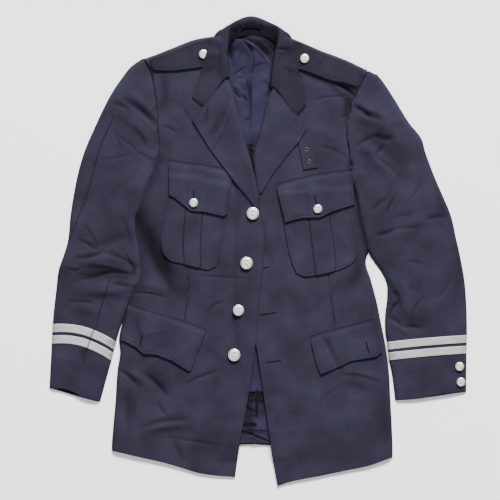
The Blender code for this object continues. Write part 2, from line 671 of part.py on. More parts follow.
def make_patch_pocket(side, piles):
    """A patch pocket whose box pleat stands out of it."""
    cut = POCKET[side]
    outer_top, inner_top, outer_foot, inner_foot = cut["pleat"]
    Line = namedtuple("Line", "top foot raised")
    places = [
        Line(0, 0, 0),
        Line(outer_top / 2, outer_foot / 2, 0),
        Line(outer_top - PLEAT_STEP, outer_foot - PLEAT_STEP, 0),
        Line(outer_top + PLEAT_STEP, outer_foot + PLEAT_STEP, 1),
        Line((outer_top + inner_top) / 2, (outer_foot + inner_foot) / 2, 1),
        Line(inner_top - PLEAT_STEP, inner_foot - PLEAT_STEP, 1),
        Line(inner_top + PLEAT_STEP, inner_foot + PLEAT_STEP, 0),
        Line((inner_top + 1) / 2, (inner_foot + 1) / 2, 0),
        Line(1, 1, 0),
    ]
    v = shares(9)
    u = np.array([[line.top + (line.foot - line.top) * w for w in v] for line in places])
    raised = np.array([[PLEAT_RISE * line.raised] * len(v) for line in places])
    grid = patch(cut["top"], cut["foot"], cut["outer"], cut["inner"], u, np.tile(v, (len(places), 1)))
    upper, lower = settle(piles[0], grid, POCKET_WALL)
    upper[..., 2] += raised
    lay(piles, upper, lower)
    add_wall("breast_pocket_" + side, upper, lower)


def make_flap(name, cut, piles):
    u = shares(6, corner_shares(cut["foot"]))
    grid = patch(cut["top"], cut["foot"], cut["outer"], cut["inner"], u, shares(6), sharp=("foot",))
    upper, lower = settle(piles[0], grid, FLAP_WALL)
    lay(piles, upper, lower)
    add_wall(name, upper, lower)


def make_badge_tab(piles):
    top, foot = BADGE_TAB["top"], BADGE_TAB["foot"]
    grid = patch(top, foot, [top[0], foot[0]], [top[1], foot[1]], shares(4), shares(6))
    upper, lower = settle(piles[0], grid, TAB_WALL)
    lay(piles, upper, lower)
    add_wall("badge_tab", upper, lower)


def make_strap(side, piles):
    cut = STRAP[side]
    grid = patch(cut["upper"], cut["lower"], [cut["upper"][0], cut["lower"][0]],
                 [cut["upper"][-1], cut["lower"][-1]], shares(11), shares(5))
    upper, lower = settle(piles[0], grid, STRAP_WALL)
    lay(piles, upper, lower)
    add_wall("strap_" + side, upper, lower)
    crown = make_button(STRAP_BUTTON[side], piles[0])
    for pile in piles:
        pile.raise_to(crown)


def make_lapel(side, ground, piles):
    """A lapel turned back along its roll line."""
    cut = LAPEL[side]
    foot = [cut["roll"][-1], cut["edge"][-1]]
    u = shares(6, near_edge(75, ROLL_RADIUS))
    v = shares(13)
    grid = patch(cut["gorge"], foot, cut["roll"], cut["edge"], u, v, sharp=("top", "foot"))
    upper, lower = settle(ground, grid, LAPEL_WALL, 0.0, [grid[0]], ROLL_RADIUS)
    lay(piles, upper, lower)
    add_wall("lapel_" + side, upper, lower)


def unit(vectors):
    return vectors / np.linalg.norm(vectors, axis=-1)[..., None]


def between_ribs(values):
    """A value of the ribs, carried smoothly along the collar."""
    rib_at = np.arange(len(COLLAR), dtype=float)
    fine = collar_places()
    slope = np.gradient(values, rib_at, axis=0)
    i = np.clip(np.floor(fine).astype(int), 0, len(COLLAR) - 2)
    w = (fine - i)[:, None]
    return (values[i] * (2 * w**3 - 3 * w**2 + 1) + slope[i] * (w**3 - 2 * w**2 + w)
            + values[i + 1] * (3 * w**2 - 2 * w**3) + slope[i + 1] * (w**3 - w**2))


def collar_places():
    return np.arange(COLLAR_STEPS * (len(COLLAR) - 1) + 1) / COLLAR_STEPS


def from_tip():
    """How many ribs each section of the collar is from the nearer tip."""
    return np.minimum(collar_places(), len(COLLAR) - 1 - collar_places())


def collar_middle(ground):
    """The middle surface of the collar: each section runs from the fall's edge over the roll to the foot."""
    edge, roll, foot = (
        between_ribs(np.array([[getattr(rib, f"{part}_{axis}") for axis in "xyz"] for rib in COLLAR], float))
        for part in ("edge", "roll", "foot")
    )
    nose = between_ribs(np.array([[rib.nose] for rib in COLLAR], float))
    to_edge, to_foot = unit(edge - roll), unit(foot - roll)
    half = np.arccos(np.clip((to_edge * to_foot).sum(-1), -1, 1))[:, None] / 2
    bulge = unit(to_edge - to_foot) * nose * NOSE_SPREAD * np.cos(half)
    outside = roll + to_edge * nose + bulge
    inside = roll + to_foot * nose - bulge
    first, second = (edge + (outside - edge) * share for share in FALL_LINES)
    notch = np.array([np.subtract(COLLAR_NOTCH["right"], first[0, :2]),
                      np.subtract(COLLAR_NOTCH["left"], first[-1, :2])])
    near = np.clip(1 - from_tip() / NOTCH_REACH, 0, 1)[:, None] ** 2
    side = np.where(collar_places() < len(COLLAR) / 2, 0, 1)
    pull = np.concatenate([notch[side] * near, np.zeros((len(side), 1))], axis=1)
    rows = [edge, first + pull, second + pull / 2, outside, roll, inside, (inside + foot) / 2, foot]
    middle = np.stack(rows, axis=1)
    over = np.zeros(middle.shape[:2], bool)
    over[from_tip() < FALL_OVER, :4] = True
    resting = ground.bridge().top(middle) + SEAM + COLLAR_WALL / 2
    middle[..., 2] = np.where(over, np.maximum(resting, middle[..., 2] * (np.arange(8) == 3)), middle[..., 2])
    return middle, over


def make_collar(ground, piles):
    middle, over = collar_middle(ground)
    normal = unit(np.cross(np.gradient(middle, axis=1), np.gradient(middle, axis=0)))
    normal *= np.sign(normal[over][:, 2].sum())
    upper, lower = middle + normal * COLLAR_WALL / 2, middle - normal * COLLAR_WALL / 2
    upper[..., 2], lower[..., 2] = np.maximum(upper[..., 2], 0), np.maximum(lower[..., 2], 0)
    upper, lower = clear(ground, upper, lower, over)
    lay(piles, upper, lower)
    add_wall("collar", upper, lower)


def sleeve_edges(side):
    rows = SLEEVE[side]
    return [(r.inner_x, r.inner_y) for r in rows], [(r.outer_x, r.outer_y) for r in rows]


def sleeve_head(side, out):
    """The armhole from the armpit up to the shoulder, moved out by a gap."""
    rows = column("side_" + side, low=dict(right=155, left=152)[side])
    return inset(rows, -out, SIGN[side])[::-1]


def braid_shares(side, edges, u):
    """The shares down each line of the sleeve at which the two braids start and end."""
    braid = BRAID[side]
    level = (braid.inner_y * (1 - u) * (1 - 2 * u) + braid.middle_y * 4 * u * (1 - u)
             + braid.outer_y * u * (2 * u - 1))
    v = np.linspace(0.5, 1, 60)
    lines = patch(*edges, u, v)[..., 1]
    start = np.array([np.interp(-y, -line, v) for y, line in zip(level, lines)])[:, None]
    length = (length_of(edges[2]) * (1 - u) + length_of(edges[3]) * u)[:, None]
    return start + np.array([0, braid.width, braid.width + braid.gap, 2 * braid.width + braid.gap]) / length


def sleeve_shares(side, edges, u):
    """Shares from the head to the cuff down each line of the sleeve, four of them along the braids."""
    braids = braid_shares(side, edges, u)
    above = braids[:, :1] * np.linspace(0, 1, ROWS_ABOVE_BRAID, endpoint=False)
    below = braids[:, -1:] + (1 - braids[:, -1:]) * np.array([0.5, 1.0])
    return np.hstack([above, braids, below])


def make_sleeve(side, piles):
    inner, outer = sleeve_edges(side)
    make_under_sleeve(side, inner, outer, piles)
    head = [inner[0], *sleeve_head(side, HEAD_GAP), outer[0]]
    edges = (head, CUFF[side], inner, outer)
    u = spaced(7, length_of(CUFF[side]), first=True, last=True)
    v = sleeve_shares(side, edges, u)
    grid = patch(*edges, np.tile(u[:, None], (1, v.shape[1])), v)
    across = np.sin(math.pi * u)[:, None]
    fullness = SLEEVE_LOFT * across * (CUFF_SHARE + (1 - CUFF_SHARE) * (1 - v))
    loft = fullness + fold_height(grid, SLEEVE_FOLDS[side]) * across**0.4
    ground = piles[0].without_armholes()
    upper, lower = settle(ground, grid, TOP_SLEEVE_WALL, loft, [grid[0], grid[-1]])
    lay(piles, upper, lower)
    add_wall("top_sleeve_" + side, upper, lower)
    make_braids(side, upper, piles)


def make_under_sleeve(side, inner, outer, piles):
    """The lower half of a sleeve, flat on the surface beside the body."""
    sign = SIGN[side]
    beside = [(-sign * max(-sign * x + FOLD_INSET, -sign * side_x(side, y) + UNDER_SLEEVE_GAP), y)
              if y > SLEEVE_CLEAR_Y else (x - sign * FOLD_INSET, y) for x, y in inner]
    below = inset(outer, FOLD_INSET, sign)
    head = [beside[0], *sleeve_head(side, SEAM * 4)[1:-1], tuple(below[0])]
    grid = patch(head, UNDER_CUFF[side], beside, below, shares(5), shares(15), sharp=("top", "start"))
    lower = np.dstack([grid, np.zeros(grid.shape[:2])])
    upper = np.dstack([grid, np.full(grid.shape[:2], UNDER_SLEEVE_WALL)])
    lay(piles, upper, lower)
    add_wall("under_sleeve_" + side, upper, lower)


def make_braids(side, sleeve, piles):
    """Braid strips made from the sleeve's own points, moved out, and ending just inside its folded edges."""
    normal = normals_of(sleeve)[1:-1]
    for name, first in (("upper", ROWS_ABOVE_BRAID), ("lower", ROWS_ABOVE_BRAID + 2)):
        rows = [first, first + 1]
        lower = sleeve[1:-1, rows] + normal[:, rows] * BRAID_GAP
        upper = lower + normal[:, rows] * BRAID_WALL
        lay(piles, upper, lower)
        add_wall(f"braid_{name}_{side}", upper, lower, SILVER_BRAID)


def turned(name, profile, x, y, z):
    """A closed body spun from a profile of radii and heights, closed on its axis or as a ring."""
    form = bmesh.new()
    ring = [form.verts.new((radius * MM, 0, height * MM)) for radius, height in profile]
    edges = [form.edges.new(pair) for pair in zip(ring, ring[1:])]
    if profile[0][0] > 0:
        edges.append(form.edges.new((ring[-1], ring[0])))
    bmesh.ops.spin(form, geom=ring + edges, cent=(0, 0, 0), axis=(0, 0, 1), angle=math.tau,
                   steps=ROUND_SIDES, use_merge=True)
    bmesh.ops.remove_doubles(form, verts=form.verts, dist=0.00001)
    bmesh.ops.triangulate(form, faces=form.faces)
    bmesh.ops.recalc_face_normals(form, faces=form.faces)
    bmesh.ops.translate(form, verts=form.verts, vec=(np.array([x, y, z]) - ORIGIN) * MM)
    mesh = bpy.data.meshes.new(name)
    form.to_mesh(mesh)
    form.free()
    mesh.shade_smooth()
    mesh.set_sharp_from_angle(angle=math.radians(35))
    add_object(name, mesh, SILVER)


def highest_below(pile, x, y, radius):
    """The top of the pile under a disc."""
    angles = np.linspace(0, math.tau, 16)
    places = [(x + reach * math.cos(a), y + reach * math.sin(a))
              for reach in np.linspace(0, radius, 4) for a in angles]
    return pile.top(np.array(places)).max()


def make_button(button, pile):
    """A button whose shank is long enough for its rim to clear what is round it. Gives its crown's points."""
    shank = BUTTON_SECTION[SHANK_TURNS - 1]
    foot = highest_below(pile, button.x, button.y, button.radius * shank.radius) + SEAM
    under = highest_below(pile, button.x, button.y, button.radius) + SEAM
    longer = max(0.0, under - foot - shank.height * button.radius)
    profile = [(turn.radius * button.radius,
                turn.height * button.radius + (longer if row >= SHANK_TURNS - 1 else 0.0))
               for row, turn in enumerate(BUTTON_SECTION)]
    turned(button.name, profile, button.x, button.y, foot)
    radii, heights = zip(*profile[:SHANK_TURNS:-1])
    reach, angle = np.meshgrid(np.linspace(0, button.radius, 12), np.linspace(0, math.tau, 60))
    return np.stack([button.x + reach * np.cos(angle), button.y + reach * np.sin(angle),
                     foot + np.interp(reach, radii, heights)], -1)


def make_eyelets(pile):
    for name, (x, y) in EYELETS.items():
        z = highest_below(pile, x, y, EYELET_SECTION[1].radius) + SEAM
        turned("badge_eyelet_" + name, EYELET_SECTION, x, y, z)


def make_hanger_loop(piles):
    """A flat loop of tape across the stand at the back of the neck."""
    top, foot = HANGER_LOOP["top"], HANGER_LOOP["foot"]
    grid = patch(top, foot, [top[0], foot[0]], [top[-1], foot[-1]], shares(9), shares(3))
    upper, lower = settle(piles[0], grid, LOOP_WALL)
    lay(piles, upper, lower)
    add_wall("hanger_loop", upper, lower)


def collar_footprint(ground):
    """The part of the collar's fall that turns under the back of the neck."""
    middle, _ = collar_middle(ground)
    under = middle[from_tip() > FALL_UNDER][:, :4]
    under[..., 2] += COLLAR_WALL / 2
    return under


def main():
    for old in list(bpy.data.objects):
        bpy.data.objects.remove(old, do_unlink=True)
    everything, body = Pile(), Pile()
    piles = (everything, body)
    fall = collar_footprint(everything)
    lay(piles, fall, fall)
    make_backs(piles)
    make_linings(piles)
    make_front("left", piles)
    make_patch_pocket("left", piles)
    make_flap("breast_flap_left", BREAST_FLAP["left"], piles)
    make_flap("hip_flap_left", HIP_FLAP["left"], piles)
    make_strap("left", piles)
    make_badge_tab(piles)
    make_eyelets(everything)
    make_lapel("left", everything, (everything,))
    make_front("right", piles)
    make_patch_pocket("right", piles)
    make_flap("breast_flap_right", BREAST_FLAP["right"], piles)
    make_flap("hip_flap_right", HIP_FLAP["right"], piles)
    make_strap("right", piles)
    make_lapel("right", everything.copy(), (everything,))
    make_collar(body, (everything,))
    make_hanger_loop((everything,))
    for side in ("right", "left"):
        make_sleeve(side, (everything,))
    for button in BUTTONS:
        make_button(button, everything)


main()
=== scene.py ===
"""Looks of the fire service dress jacket: navy wool serge, satin lining, silver braid and silver buttons.

Each cut piece is sewn up again on a fine grid in the outline of its solid and laid on what is below it.
The tables are in millimetres. +X is the wearer's left, +Y runs to the collar and +Z is up.
"""

import math
from collections import namedtuple

import bmesh
import bpy
import numpy as np
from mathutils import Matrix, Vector


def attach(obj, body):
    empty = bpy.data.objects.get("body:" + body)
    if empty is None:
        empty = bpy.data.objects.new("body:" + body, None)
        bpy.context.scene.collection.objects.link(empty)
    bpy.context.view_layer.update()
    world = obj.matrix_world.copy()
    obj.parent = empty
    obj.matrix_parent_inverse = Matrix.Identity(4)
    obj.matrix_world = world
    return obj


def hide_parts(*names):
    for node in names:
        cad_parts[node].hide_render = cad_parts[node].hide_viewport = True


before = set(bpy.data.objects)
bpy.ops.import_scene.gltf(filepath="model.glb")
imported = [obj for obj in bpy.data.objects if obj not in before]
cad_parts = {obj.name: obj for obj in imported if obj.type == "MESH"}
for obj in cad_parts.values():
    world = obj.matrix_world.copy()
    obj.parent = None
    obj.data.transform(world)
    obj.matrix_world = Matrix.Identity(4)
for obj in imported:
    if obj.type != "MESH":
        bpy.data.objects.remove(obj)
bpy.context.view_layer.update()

MM = 0.001
ORIGIN = np.array([0.8, -0.1, 0.0])  # the middle of the whole outline, under the jacket
GAP = 0.15  # between a piece and what it lies on
ARMHOLE_GAP = 0.3
ARMHOLE_INSET = 1.2  # how far a back stays inside the armhole
UNDER_ARM_GAP = 1.6  # and an under sleeve outside it
BACK_WALL = 2.0
FRONT_WALL = 3.0  # cloth, canvas and facing together
LINING_WALL = 1.0
FACING_WALL = 1.5
LAPEL_WALL = 2.2
COLLAR_WALL = 2.6
POCKET_WALL = 1.8
FLAP_WALL = 2.2
TAB_WALL = 1.6
STRAP_WALL = 3.0
LOOP_WALL = 1.2
UNDER_SLEEVE_WALL = 1.8
TOP_SLEEVE_WALL = 2.2
BRAID_WALL = 1.0
FOLD_RADIUS = 8.0  # where a panel turns down at a shoulder line, side or sleeve edge
ROLL_RADIUS = 5.0  # where a lapel turns at its roll line
FOLD_INSET = 5.5  # how far the layer below stays inside a folded edge
PLEAT_RISE = 1.2
FINE = 2.4  # grid spacing on the large panels
SMALL = 1.5  # and on the small ones
FOLD_ROWS = (0, 0.25, 1.0, 2.3, 4.6, 8.0)  # grid lines that follow the round of a folded edge
ROLL_ROWS = (0, 0.2, 0.8, 1.7, 3.0, 5.0)  # a lapel's roll
CUT_ROWS = (0, 0.15, 0.5, 1.1)  # and a sewn edge
STITCH_INSET = 5.0  # edge stitching from the edge
STITCH_WIDTH = 0.7  # and the hollow that it presses in
STITCH_ROWS = (*CUT_ROWS, 4.3, 5.0, 5.7)
SEWN_SIDES = ("start", "end", "foot")  # of pockets and flaps
POCKET_LENGTH = 150
STRAP_WIDTH = 46
LAPEL_WIDTH = 75
SLEEVE_WIDTH, SLEEVE_SPACING = 125, 2.0
BESIDE_BODY, BESIDE_BODY_Y = 2.5, -160  # how far an under sleeve stays off the body, and down to where
BUTTON_SIDES, EYELET_SIDES, DISC_SIDES = 60, 32, 24

# About how wide and long the plainly laid out pieces are, and how far apart their grid lines are
Spacing = namedtuple("Spacing", "width length across down")
SPACING = dict(
    back=Spacing(210, 700, 4.5, 5),
    lining=Spacing(90, 220, 1.6, 1.6),
    badge_tab=Spacing(27, 52, 1.2, 1.2),
    under_sleeve=Spacing(110, 560, 4, 4),
    hanger_loop=Spacing(32, 6, 0.8, 0.6),
)

# Half sections of the body, from the collar to the hem: where the armhole or side and the front edge
# are on each side
Level = namedtuple("Level", "y side_right edge_right edge_left side_left")
LEVELS = [
    Level(350, None, -63, 42, None),
    Level(330, -194.5, -62, 37.5, None),
    Level(313, -185.5, -59, 34.5, 190),
    Level(290, -182, -53, 29, 178),
    Level(260, -177.5, -43.3, 20, 165),
    Level(229, -176, -35.2, 11, 158),
    Level(199, -173.5, -27, 3.5, 155.5),
    Level(177, -172.5, -21, -3, 159),
    Level(154, -178.5, -13.5, -6, 161.5),
    Level(131, -192.5, -9, -6, 167.5),
    Level(110, -212, -4.8, -6.3, 191),
    Level(103, -214.5, -3.5, -6.4, 205),
    Level(78, -219, 1, -7, 208),
    Level(45, -220.3, 8.8, -8, 205.8),
    Level(5, -219.2, 11, -9, 195),
    Level(-18, -218, 9.6, -9.7, 188),
    Level(-51, -219.8, 6, -10.5, 197),
    Level(-90, -228, 1.2, -11, 207.3),
    Level(-126, -237, -1.9, -10, 214.5),
    Level(-156, -242.5, -3.4, -5.5, 220.8),
    Level(-173, -240.5, -5.5, -2.4, 223.6),
    Level(-208, -245, -10, 3.4, 228),
    Level(-261, -248.5, -18, 10.7, 231),
    Level(-313, -253, -28, 18.3, 233.7),
    Level(-345, -254.8, -33, 22.6, 234.8),
]
ARMPIT_Y = dict(right=110, left=103)
# Shade painted into the cloth beside the sleeves: along the armhole, and where a sleeve lies over the front
ARMHOLE_SHADE = dict(right=0.35, left=0.8)  # how much the sewn-in sleeve shades the front beside it
ARM_SHADE = dict(right=0.55, left=0.85)  # and how much the sleeve that lies over it does
ARM_SHADE_WIDTH = dict(right=13.0, left=7.0)
ARM_SHADE_Y = dict(right=-135, left=-12)  # as far down as this
HEAD_Y = dict(right=155, left=152)  # where the sleeve head leaves the armhole
SIGN = dict(right=1, left=-1)  # the side of a downward line on which the body lies
SHOULDER = dict(
    right=[(-72, 375), (-107, 369.5), (-154, 352), (-189, 338.5), (-199.5, 335)],
    left=[(56, 372), (73.5, 365), (108.5, 350), (152, 333.5), (191, 315)],
)
NECK = dict(right=[(-72, 375), (-66, 364)], left=[(56, 372), (47, 362)])
HEM = dict(
    right=[(-40, -394), (-68, -392), (-101.5, -387.5), (-136.5, -377), (-166, -368.5), (-206.5, -359.5),
           (-254.5, -348)],
    left=[(34, -409.5), (52.5, -403.5), (108.5, -392), (152, -383), (192.5, -374.5), (234.5, -359)],
)
BACK_NECK = dict(
    right=[(-10.7, 372), (-27, 369), (-40, 359), (-60, 353), (-80, 362)],
    left=[(-10.3, 372), (9, 369), (22, 357), (44, 351), (66, 357)],
)
BACK_HEM = dict(
    right=[(-5.2, -337), (-145, -341), (-249, -346.5)],
    left=[(-4.8, -337), (126, -346.5), (229, -355)],
)

# The folds and hollows that show from a step away: from, to, width and height. They run straight, and
# shade is painted into one that sinks in.
Fold = namedtuple("Fold", "x0 y0 x1 y1 width height bend", defaults=[0])
FRONT_FOLDS = dict(
    right=[
        Fold(-201, 40, -152, -60, 24, -2.4),
        Fold(-190, -70, -120, -62, 18, 1.6),
        Fold(-194, -200, -154, -254, 18, -2.2),
        Fold(-215, -225, -190, -330, 20, 2.4),
        Fold(-198, -304, -101, -298, 20, 2.4),
        Fold(-130, -345, -60, -330, 22, -1.6),
        Fold(-75, -120, -55, -260, 22, 1.6),
    ],
    left=[
        Fold(100, -86, 152, -33, 22, 2.2),
        Fold(70, -60, 60, -190, 24, 1.6),
        Fold(135, -215, 213, -236, 18, 2.4),
        Fold(160, -250, 170, -340, 22, 2.2),
        Fold(90, -240, 80, -370, 24, 1.8),
        Fold(215, -245, 222, -340, 18, -1.8),
        Fold(130, 270, 150, 200, 20, 1.4),
    ],
)
SLEEVE_FOLDS = dict(
    right=[
        Fold(-322, -12, -212, -17, 15, 3.4),
        Fold(-300, 6, -222, 26, 13, -2.2),
        Fold(-330, -42, -218, -46, 13, -2.4),
        Fold(-322, -62, -235, -72, 14, 2.6),
        Fold(-240, 262, -186, 190, 16, 2.4),
        Fold(-272, 150, -240, 20, 22, 1.6),
        Fold(-318, -95, -262, -110, 14, 1.8),
    ],
    left=[
        Fold(172, 262, 262, 172, 14, 2.6),
        Fold(165, 222, 250, 150, 14, -2.2),
        Fold(178, 190, 238, 118, 15, 2.4),
        Fold(262, 130, 210, 30, 16, 1.8),
        Fold(300, 66, 232, 22, 16, 2.0),
        Fold(232, -64, 262, -110, 13, 2.8),
        Fold(330, 20, 320, -110, 22, 1.6),
        Fold(240, -120, 300, -135, 13, -1.8),
    ],
)

# Sections across each sleeve, from the head to the cuff
Section = namedtuple("Section", "inner_x inner_y outer_x outer_y")
SLEEVE = dict(
    right=[
        Section(-174.5, 161, -201, 336), Section(-186, 133, -222, 321), Section(-196, 107, -238, 301),
        Section(-206.5, 77, -255.5, 275), Section(-215, 54, -269.5, 248.5), Section(-213.5, 33, -285, 215),
        Section(-208, 2, -301, 178.5), Section(-205.5, -30, -312.5, 142), Section(-207, -52.5, -320, 107),
        Section(-219, -70, -327, 63), Section(-226, -89, -332.5, 14), Section(-233, -114, -339.5, -9),
        Section(-241.5, -138, -347, -30), Section(-247, -157.5, -352, -68), Section(-255.5, -191, -357, -112),
        Section(-266, -229, -361, -185), Section(-275, -262.5, -364, -240),
    ],
    left=[
        Section(162.5, 151, 193.5, 314), Section(163.5, 128, 210, 304.5), Section(169, 107, 222, 289.5),
        Section(175, 80.5, 236, 268), Section(180, 54, 262.5, 225), Section(189, 19, 287, 191),
        Section(194, -5, 290.5, 177), Section(203, -20, 301, 147), Section(215, -37, 313, 117),
        Section(224, -56, 324.5, 91), Section(225, -80.5, 336, 63), Section(221.5, -112, 345, 24.5),
        Section(222, -143.5, 353.5, -14), Section(226, -168, 360, -51), Section(228.5, -191, 363.5, -94.5),
        Section(233.5, -215, 364.5, -138), Section(236.5, -238, 363.5, -190), Section(239, -260, 363, -246),
    ],
)
CUFF = dict(
    right=[(-275, -262.5), (-290.5, -260), (-308, -254), (-322, -246), (-339.5, -241), (-364, -240)],
    left=[(239, -260), (257, -259.5), (283.5, -257), (310, -252), (336, -248.5), (363, -246)],
)
UNDER_CUFF = dict(
    right=[(-280, -263), (-308, -257), (-322, -253.5), (-339.5, -249), (-358, -244.5)],
    left=[(245, -258), (283, -255), (357, -244.5)],
)
# Where the upper braid's upper edge crosses the sleeve's inner side, middle and outer side, and then the
# width of each of the two braids and the gap between them
Braid = namedtuple("Braid", "inner_y middle_y outer_y width gap")
BRAID = dict(right=Braid(-158.5, -132.8, -127.5, 14.5, 5.3), left=Braid(-158.7, -151.5, -146.5, 13.4, 5.2))

# Collar sections from the wearer's right tip round the back of the neck to the left tip: the fall's edge,
# the roll and the foot of the stand, each in plan with its height
Rib = namedtuple("Rib", "name edge_x edge_y edge_z roll_x roll_y roll_z foot_x foot_y foot_z nose")
COLLAR = [
    Rib("tip_right", -115, 267, 0, -52.5, 302, 9.0, -51, 301, 6, 2.6),
    Rib("leaf_right", -106, 290, 0, -54, 322, 12.5, -52, 321, 6.2, 2.6),
    Rib("neck_right", -96, 325, 0, -56, 345, 14, -53.5, 344, 6.5, 3),
    Rib("side_right", -85, 357, 0, -54.5, 366, 15, -49, 361, 7, 4),
    Rib("shoulder_right", -66.5, 383, 7, -49, 390, 13.5, -42, 370, 7, 5),
    Rib("back_right", -31.5, 360.5, 1.3, -31.5, 403, 7, -30, 374, 5.6, 5.5),
    Rib("centre", -9, 357, 1.3, -9, 408, 6.6, -9, 375.5, 5.4, 5.5),
    Rib("back_left", 17, 358, 1.3, 18, 398, 7, 14, 373, 5.6, 5.5),
    Rib("shoulder_left", 50, 379, 7, 35.5, 386.5, 13.5, 27, 367, 7, 5),
    Rib("side_left", 63, 357, 0, 36.5, 364, 15, 31.5, 359, 7, 4),
    Rib("neck_left", 68, 325, 0, 31.5, 342, 14, 29.5, 341, 6.5, 3),
    Rib("leaf_left", 77, 295, 0, 26, 312, 12.5, 24.5, 311, 6.2, 2.6),
    Rib("tip_left", 83, 253, 0, 24, 285, 9.0, 22.8, 284, 6, 2.6),
]
FALL_OVER = 3.4  # ribs from each tip over which the fall lies on the fronts
FALL_UNDER = 4.4  # ribs from each tip past which it lies under the backs
COLLAR_NOTCH = dict(right=(-93, 252), left=(66, 237))

LAPEL = dict(
    right=dict(
        gorge=[(-51, 300.5), (-92.3, 249.8), (-114, 226)],
        roll=[(-51, 300.5), (-46.5, 285), (-40, 261), (-30, 222), (-18.5, 180), (-7, 138), (-2, 114), (2, 92),
              (1, 76)],
        edge=[(-114, 226), (-84, 177), (-63, 149), (-44, 124), (-23, 98), (-4.5, 75)],
    ),
    left=dict(
        gorge=[(22.5, 283), (65, 235.2), (84, 210)],
        roll=[(22.5, 283), (17.8, 268), (8, 231), (1, 203), (-6.5, 177), (-9.5, 160), (-5, 133), (0, 101.5)],
        edge=[(84, 210), (72, 191.5), (47, 161), (24.5, 131), (7, 101)],
    ),
)
STRAP = dict(
    right=dict(top=[(-80.5, 371), (-107, 364.5), (-154, 347), (-188, 334)],
               foot=[(-84, 324), (-98, 320), (-124, 316), (-154, 313), (-182, 314)]),
    left=dict(top=[(57, 368), (73.5, 362), (108.5, 346.5), (152, 330.5), (183.5, 315)],
              foot=[(60, 320), (91, 310), (108.5, 303), (135, 294), (152, 291.5), (172, 285)]),
)
# Cut pieces by their top and foot edges, and by what their sides have between these: start is the outer
# side of a pocket or flap and the wearer's right side of a lining. A pleat has the shares of the top at
# which its outer and inner edge begin, and those of the foot at which they end.
POCKET = dict(
    right=dict(
        top=[(-155, 130), (-48, 112)],
        start=[(-156.5, 96), (-163, 72), (-168.5, 37), (-169.5, 14)],
        foot=[(-165, -5), (-155, -16), (-133, -22.5), (-108.5, -28.5), (-86, -33), (-72.5, -27)],
        end=[(-55, 61), (-59.5, 31.5), (-65, 2), (-67, -14)],
        pleat=(0.30, 0.55, 0.43, 0.69),
    ),
    left=dict(
        top=[(164.5, 107), (35, 98)],
        start=[(166, 63), (171.5, 28), (174, 5), (172.5, -9)],
        foot=[(166, -20), (152, -29), (126, -37.5), (100, -43), (79, -44.5), (66.5, -38.5)],
        end=[(44, 52.5), (51, 10.5), (58, -19)],
        pleat=(0.35, 0.605, 0.35, 0.66),
    ),
)
BREAST_FLAP = dict(
    right=dict(
        top=[(-157.5, 160), (-128, 155), (-93, 150), (-44, 142)],
        start=[(-155.5, 133)],
        foot=[(-155, 97), (-143.5, 91), (-116.5, 69), (-93, 67.5), (-59.5, 59.5), (-54, 64)],
        end=[(-47, 115), (-51, 90)],
    ),
    left=dict(
        top=[(164, 142), (108.5, 135.5), (73.5, 128), (30.5, 117)],
        start=[(166, 110)],
        foot=[(167.5, 80), (147, 74), (128, 67.5), (108.5, 58), (79, 57), (59.5, 52.5), (47, 49)],
        end=[(37, 89), (44, 61)],
    ),
)
HIP_FLAP = dict(
    right=dict(
        top=[(-226, -91), (-189, -105), (-154, -114.5), (-128, -122.5), (-90, -136.5)],
        start=[(-232, -125)],
        foot=[(-239.5, -155), (-226, -161), (-214.5, -167), (-199.5, -180), (-177, -181), (-150, -191.5),
              (-121, -210), (-116.5, -208)],
        end=[(-96, -153), (-107, -182)],
    ),
    left=dict(
        top=[(202, -118), (187, -121.5), (152, -131), (117, -140), (90, -148)],
        start=[(209, -147)],
        foot=[(216, -177), (206.5, -184.5), (187, -188), (161, -192.5), (143.5, -201), (109, -216)],
        end=[(96, -177), (105, -206.5)],
    ),
)
BADGE_TAB = dict(top=[(69, 192), (96, 193)], foot=[(79, 140.5), (105, 145)])
HANGER_LOOP = dict(top=[(-28, 392), (-12, 394), (4, 391)], foot=[(-28, 385.8), (-12, 387.8), (4, 384.8)])
EYELETS = dict(upper=(85, 177), lower=(89.5, 156))
NECK_LINING = dict(
    top=[(-54, 366), (-32, 374), (-9, 377), (14, 373), (37, 361)],
    start=[(-58, 325), (-55, 300), (-44, 262), (-30, 200)],
    end=[(38, 325), (35, 300), (27, 262), (16, 200)],
    foot=[(-22, 140), (8, 140)],
)
VENT_LINING = dict(
    top=[(-24, -140), (18, -140)],
    start=[(-34, -240)],
    end=[(30, -240)],
    foot=[(-48, -312), (42, -312)],
)
HEM_FACING = dict(
    top=[(-49, -313), (43, -313)],
    start=[],
    end=[],
    foot=[(-51, -335), (45, -335)],
)

# Buttons: where, and how large
Button = namedtuple("Button", "name x y radius")
STRAP_BUTTON = dict(right=Button("strap_button_right", -95.0, 342.7, 7.6),
                    left=Button("strap_button_left", 81, 335, 7.6))
PIN_HOLES = dict(right=[(-115, 345)], left=[(102.5, 328.5)])  # left by badges once pinned to the straps
BUTTONS = [
    Button("front_button_1", -9, 65.5, 10.6),
    Button("front_button_2", -20, -21, 10.6),
    Button("front_button_3", -34, -103, 9.5),
    Button("front_button_4", -41.5, -181, 10.6),
    Button("pocket_button_right", -112, 84, 7.4),
    Button("pocket_button_left", 104, 73.5, 7.4),
    Button("cuff_button_upper", 351, -201, 7.4),
    Button("cuff_button_lower", 353.5, -228, 7.4),
]
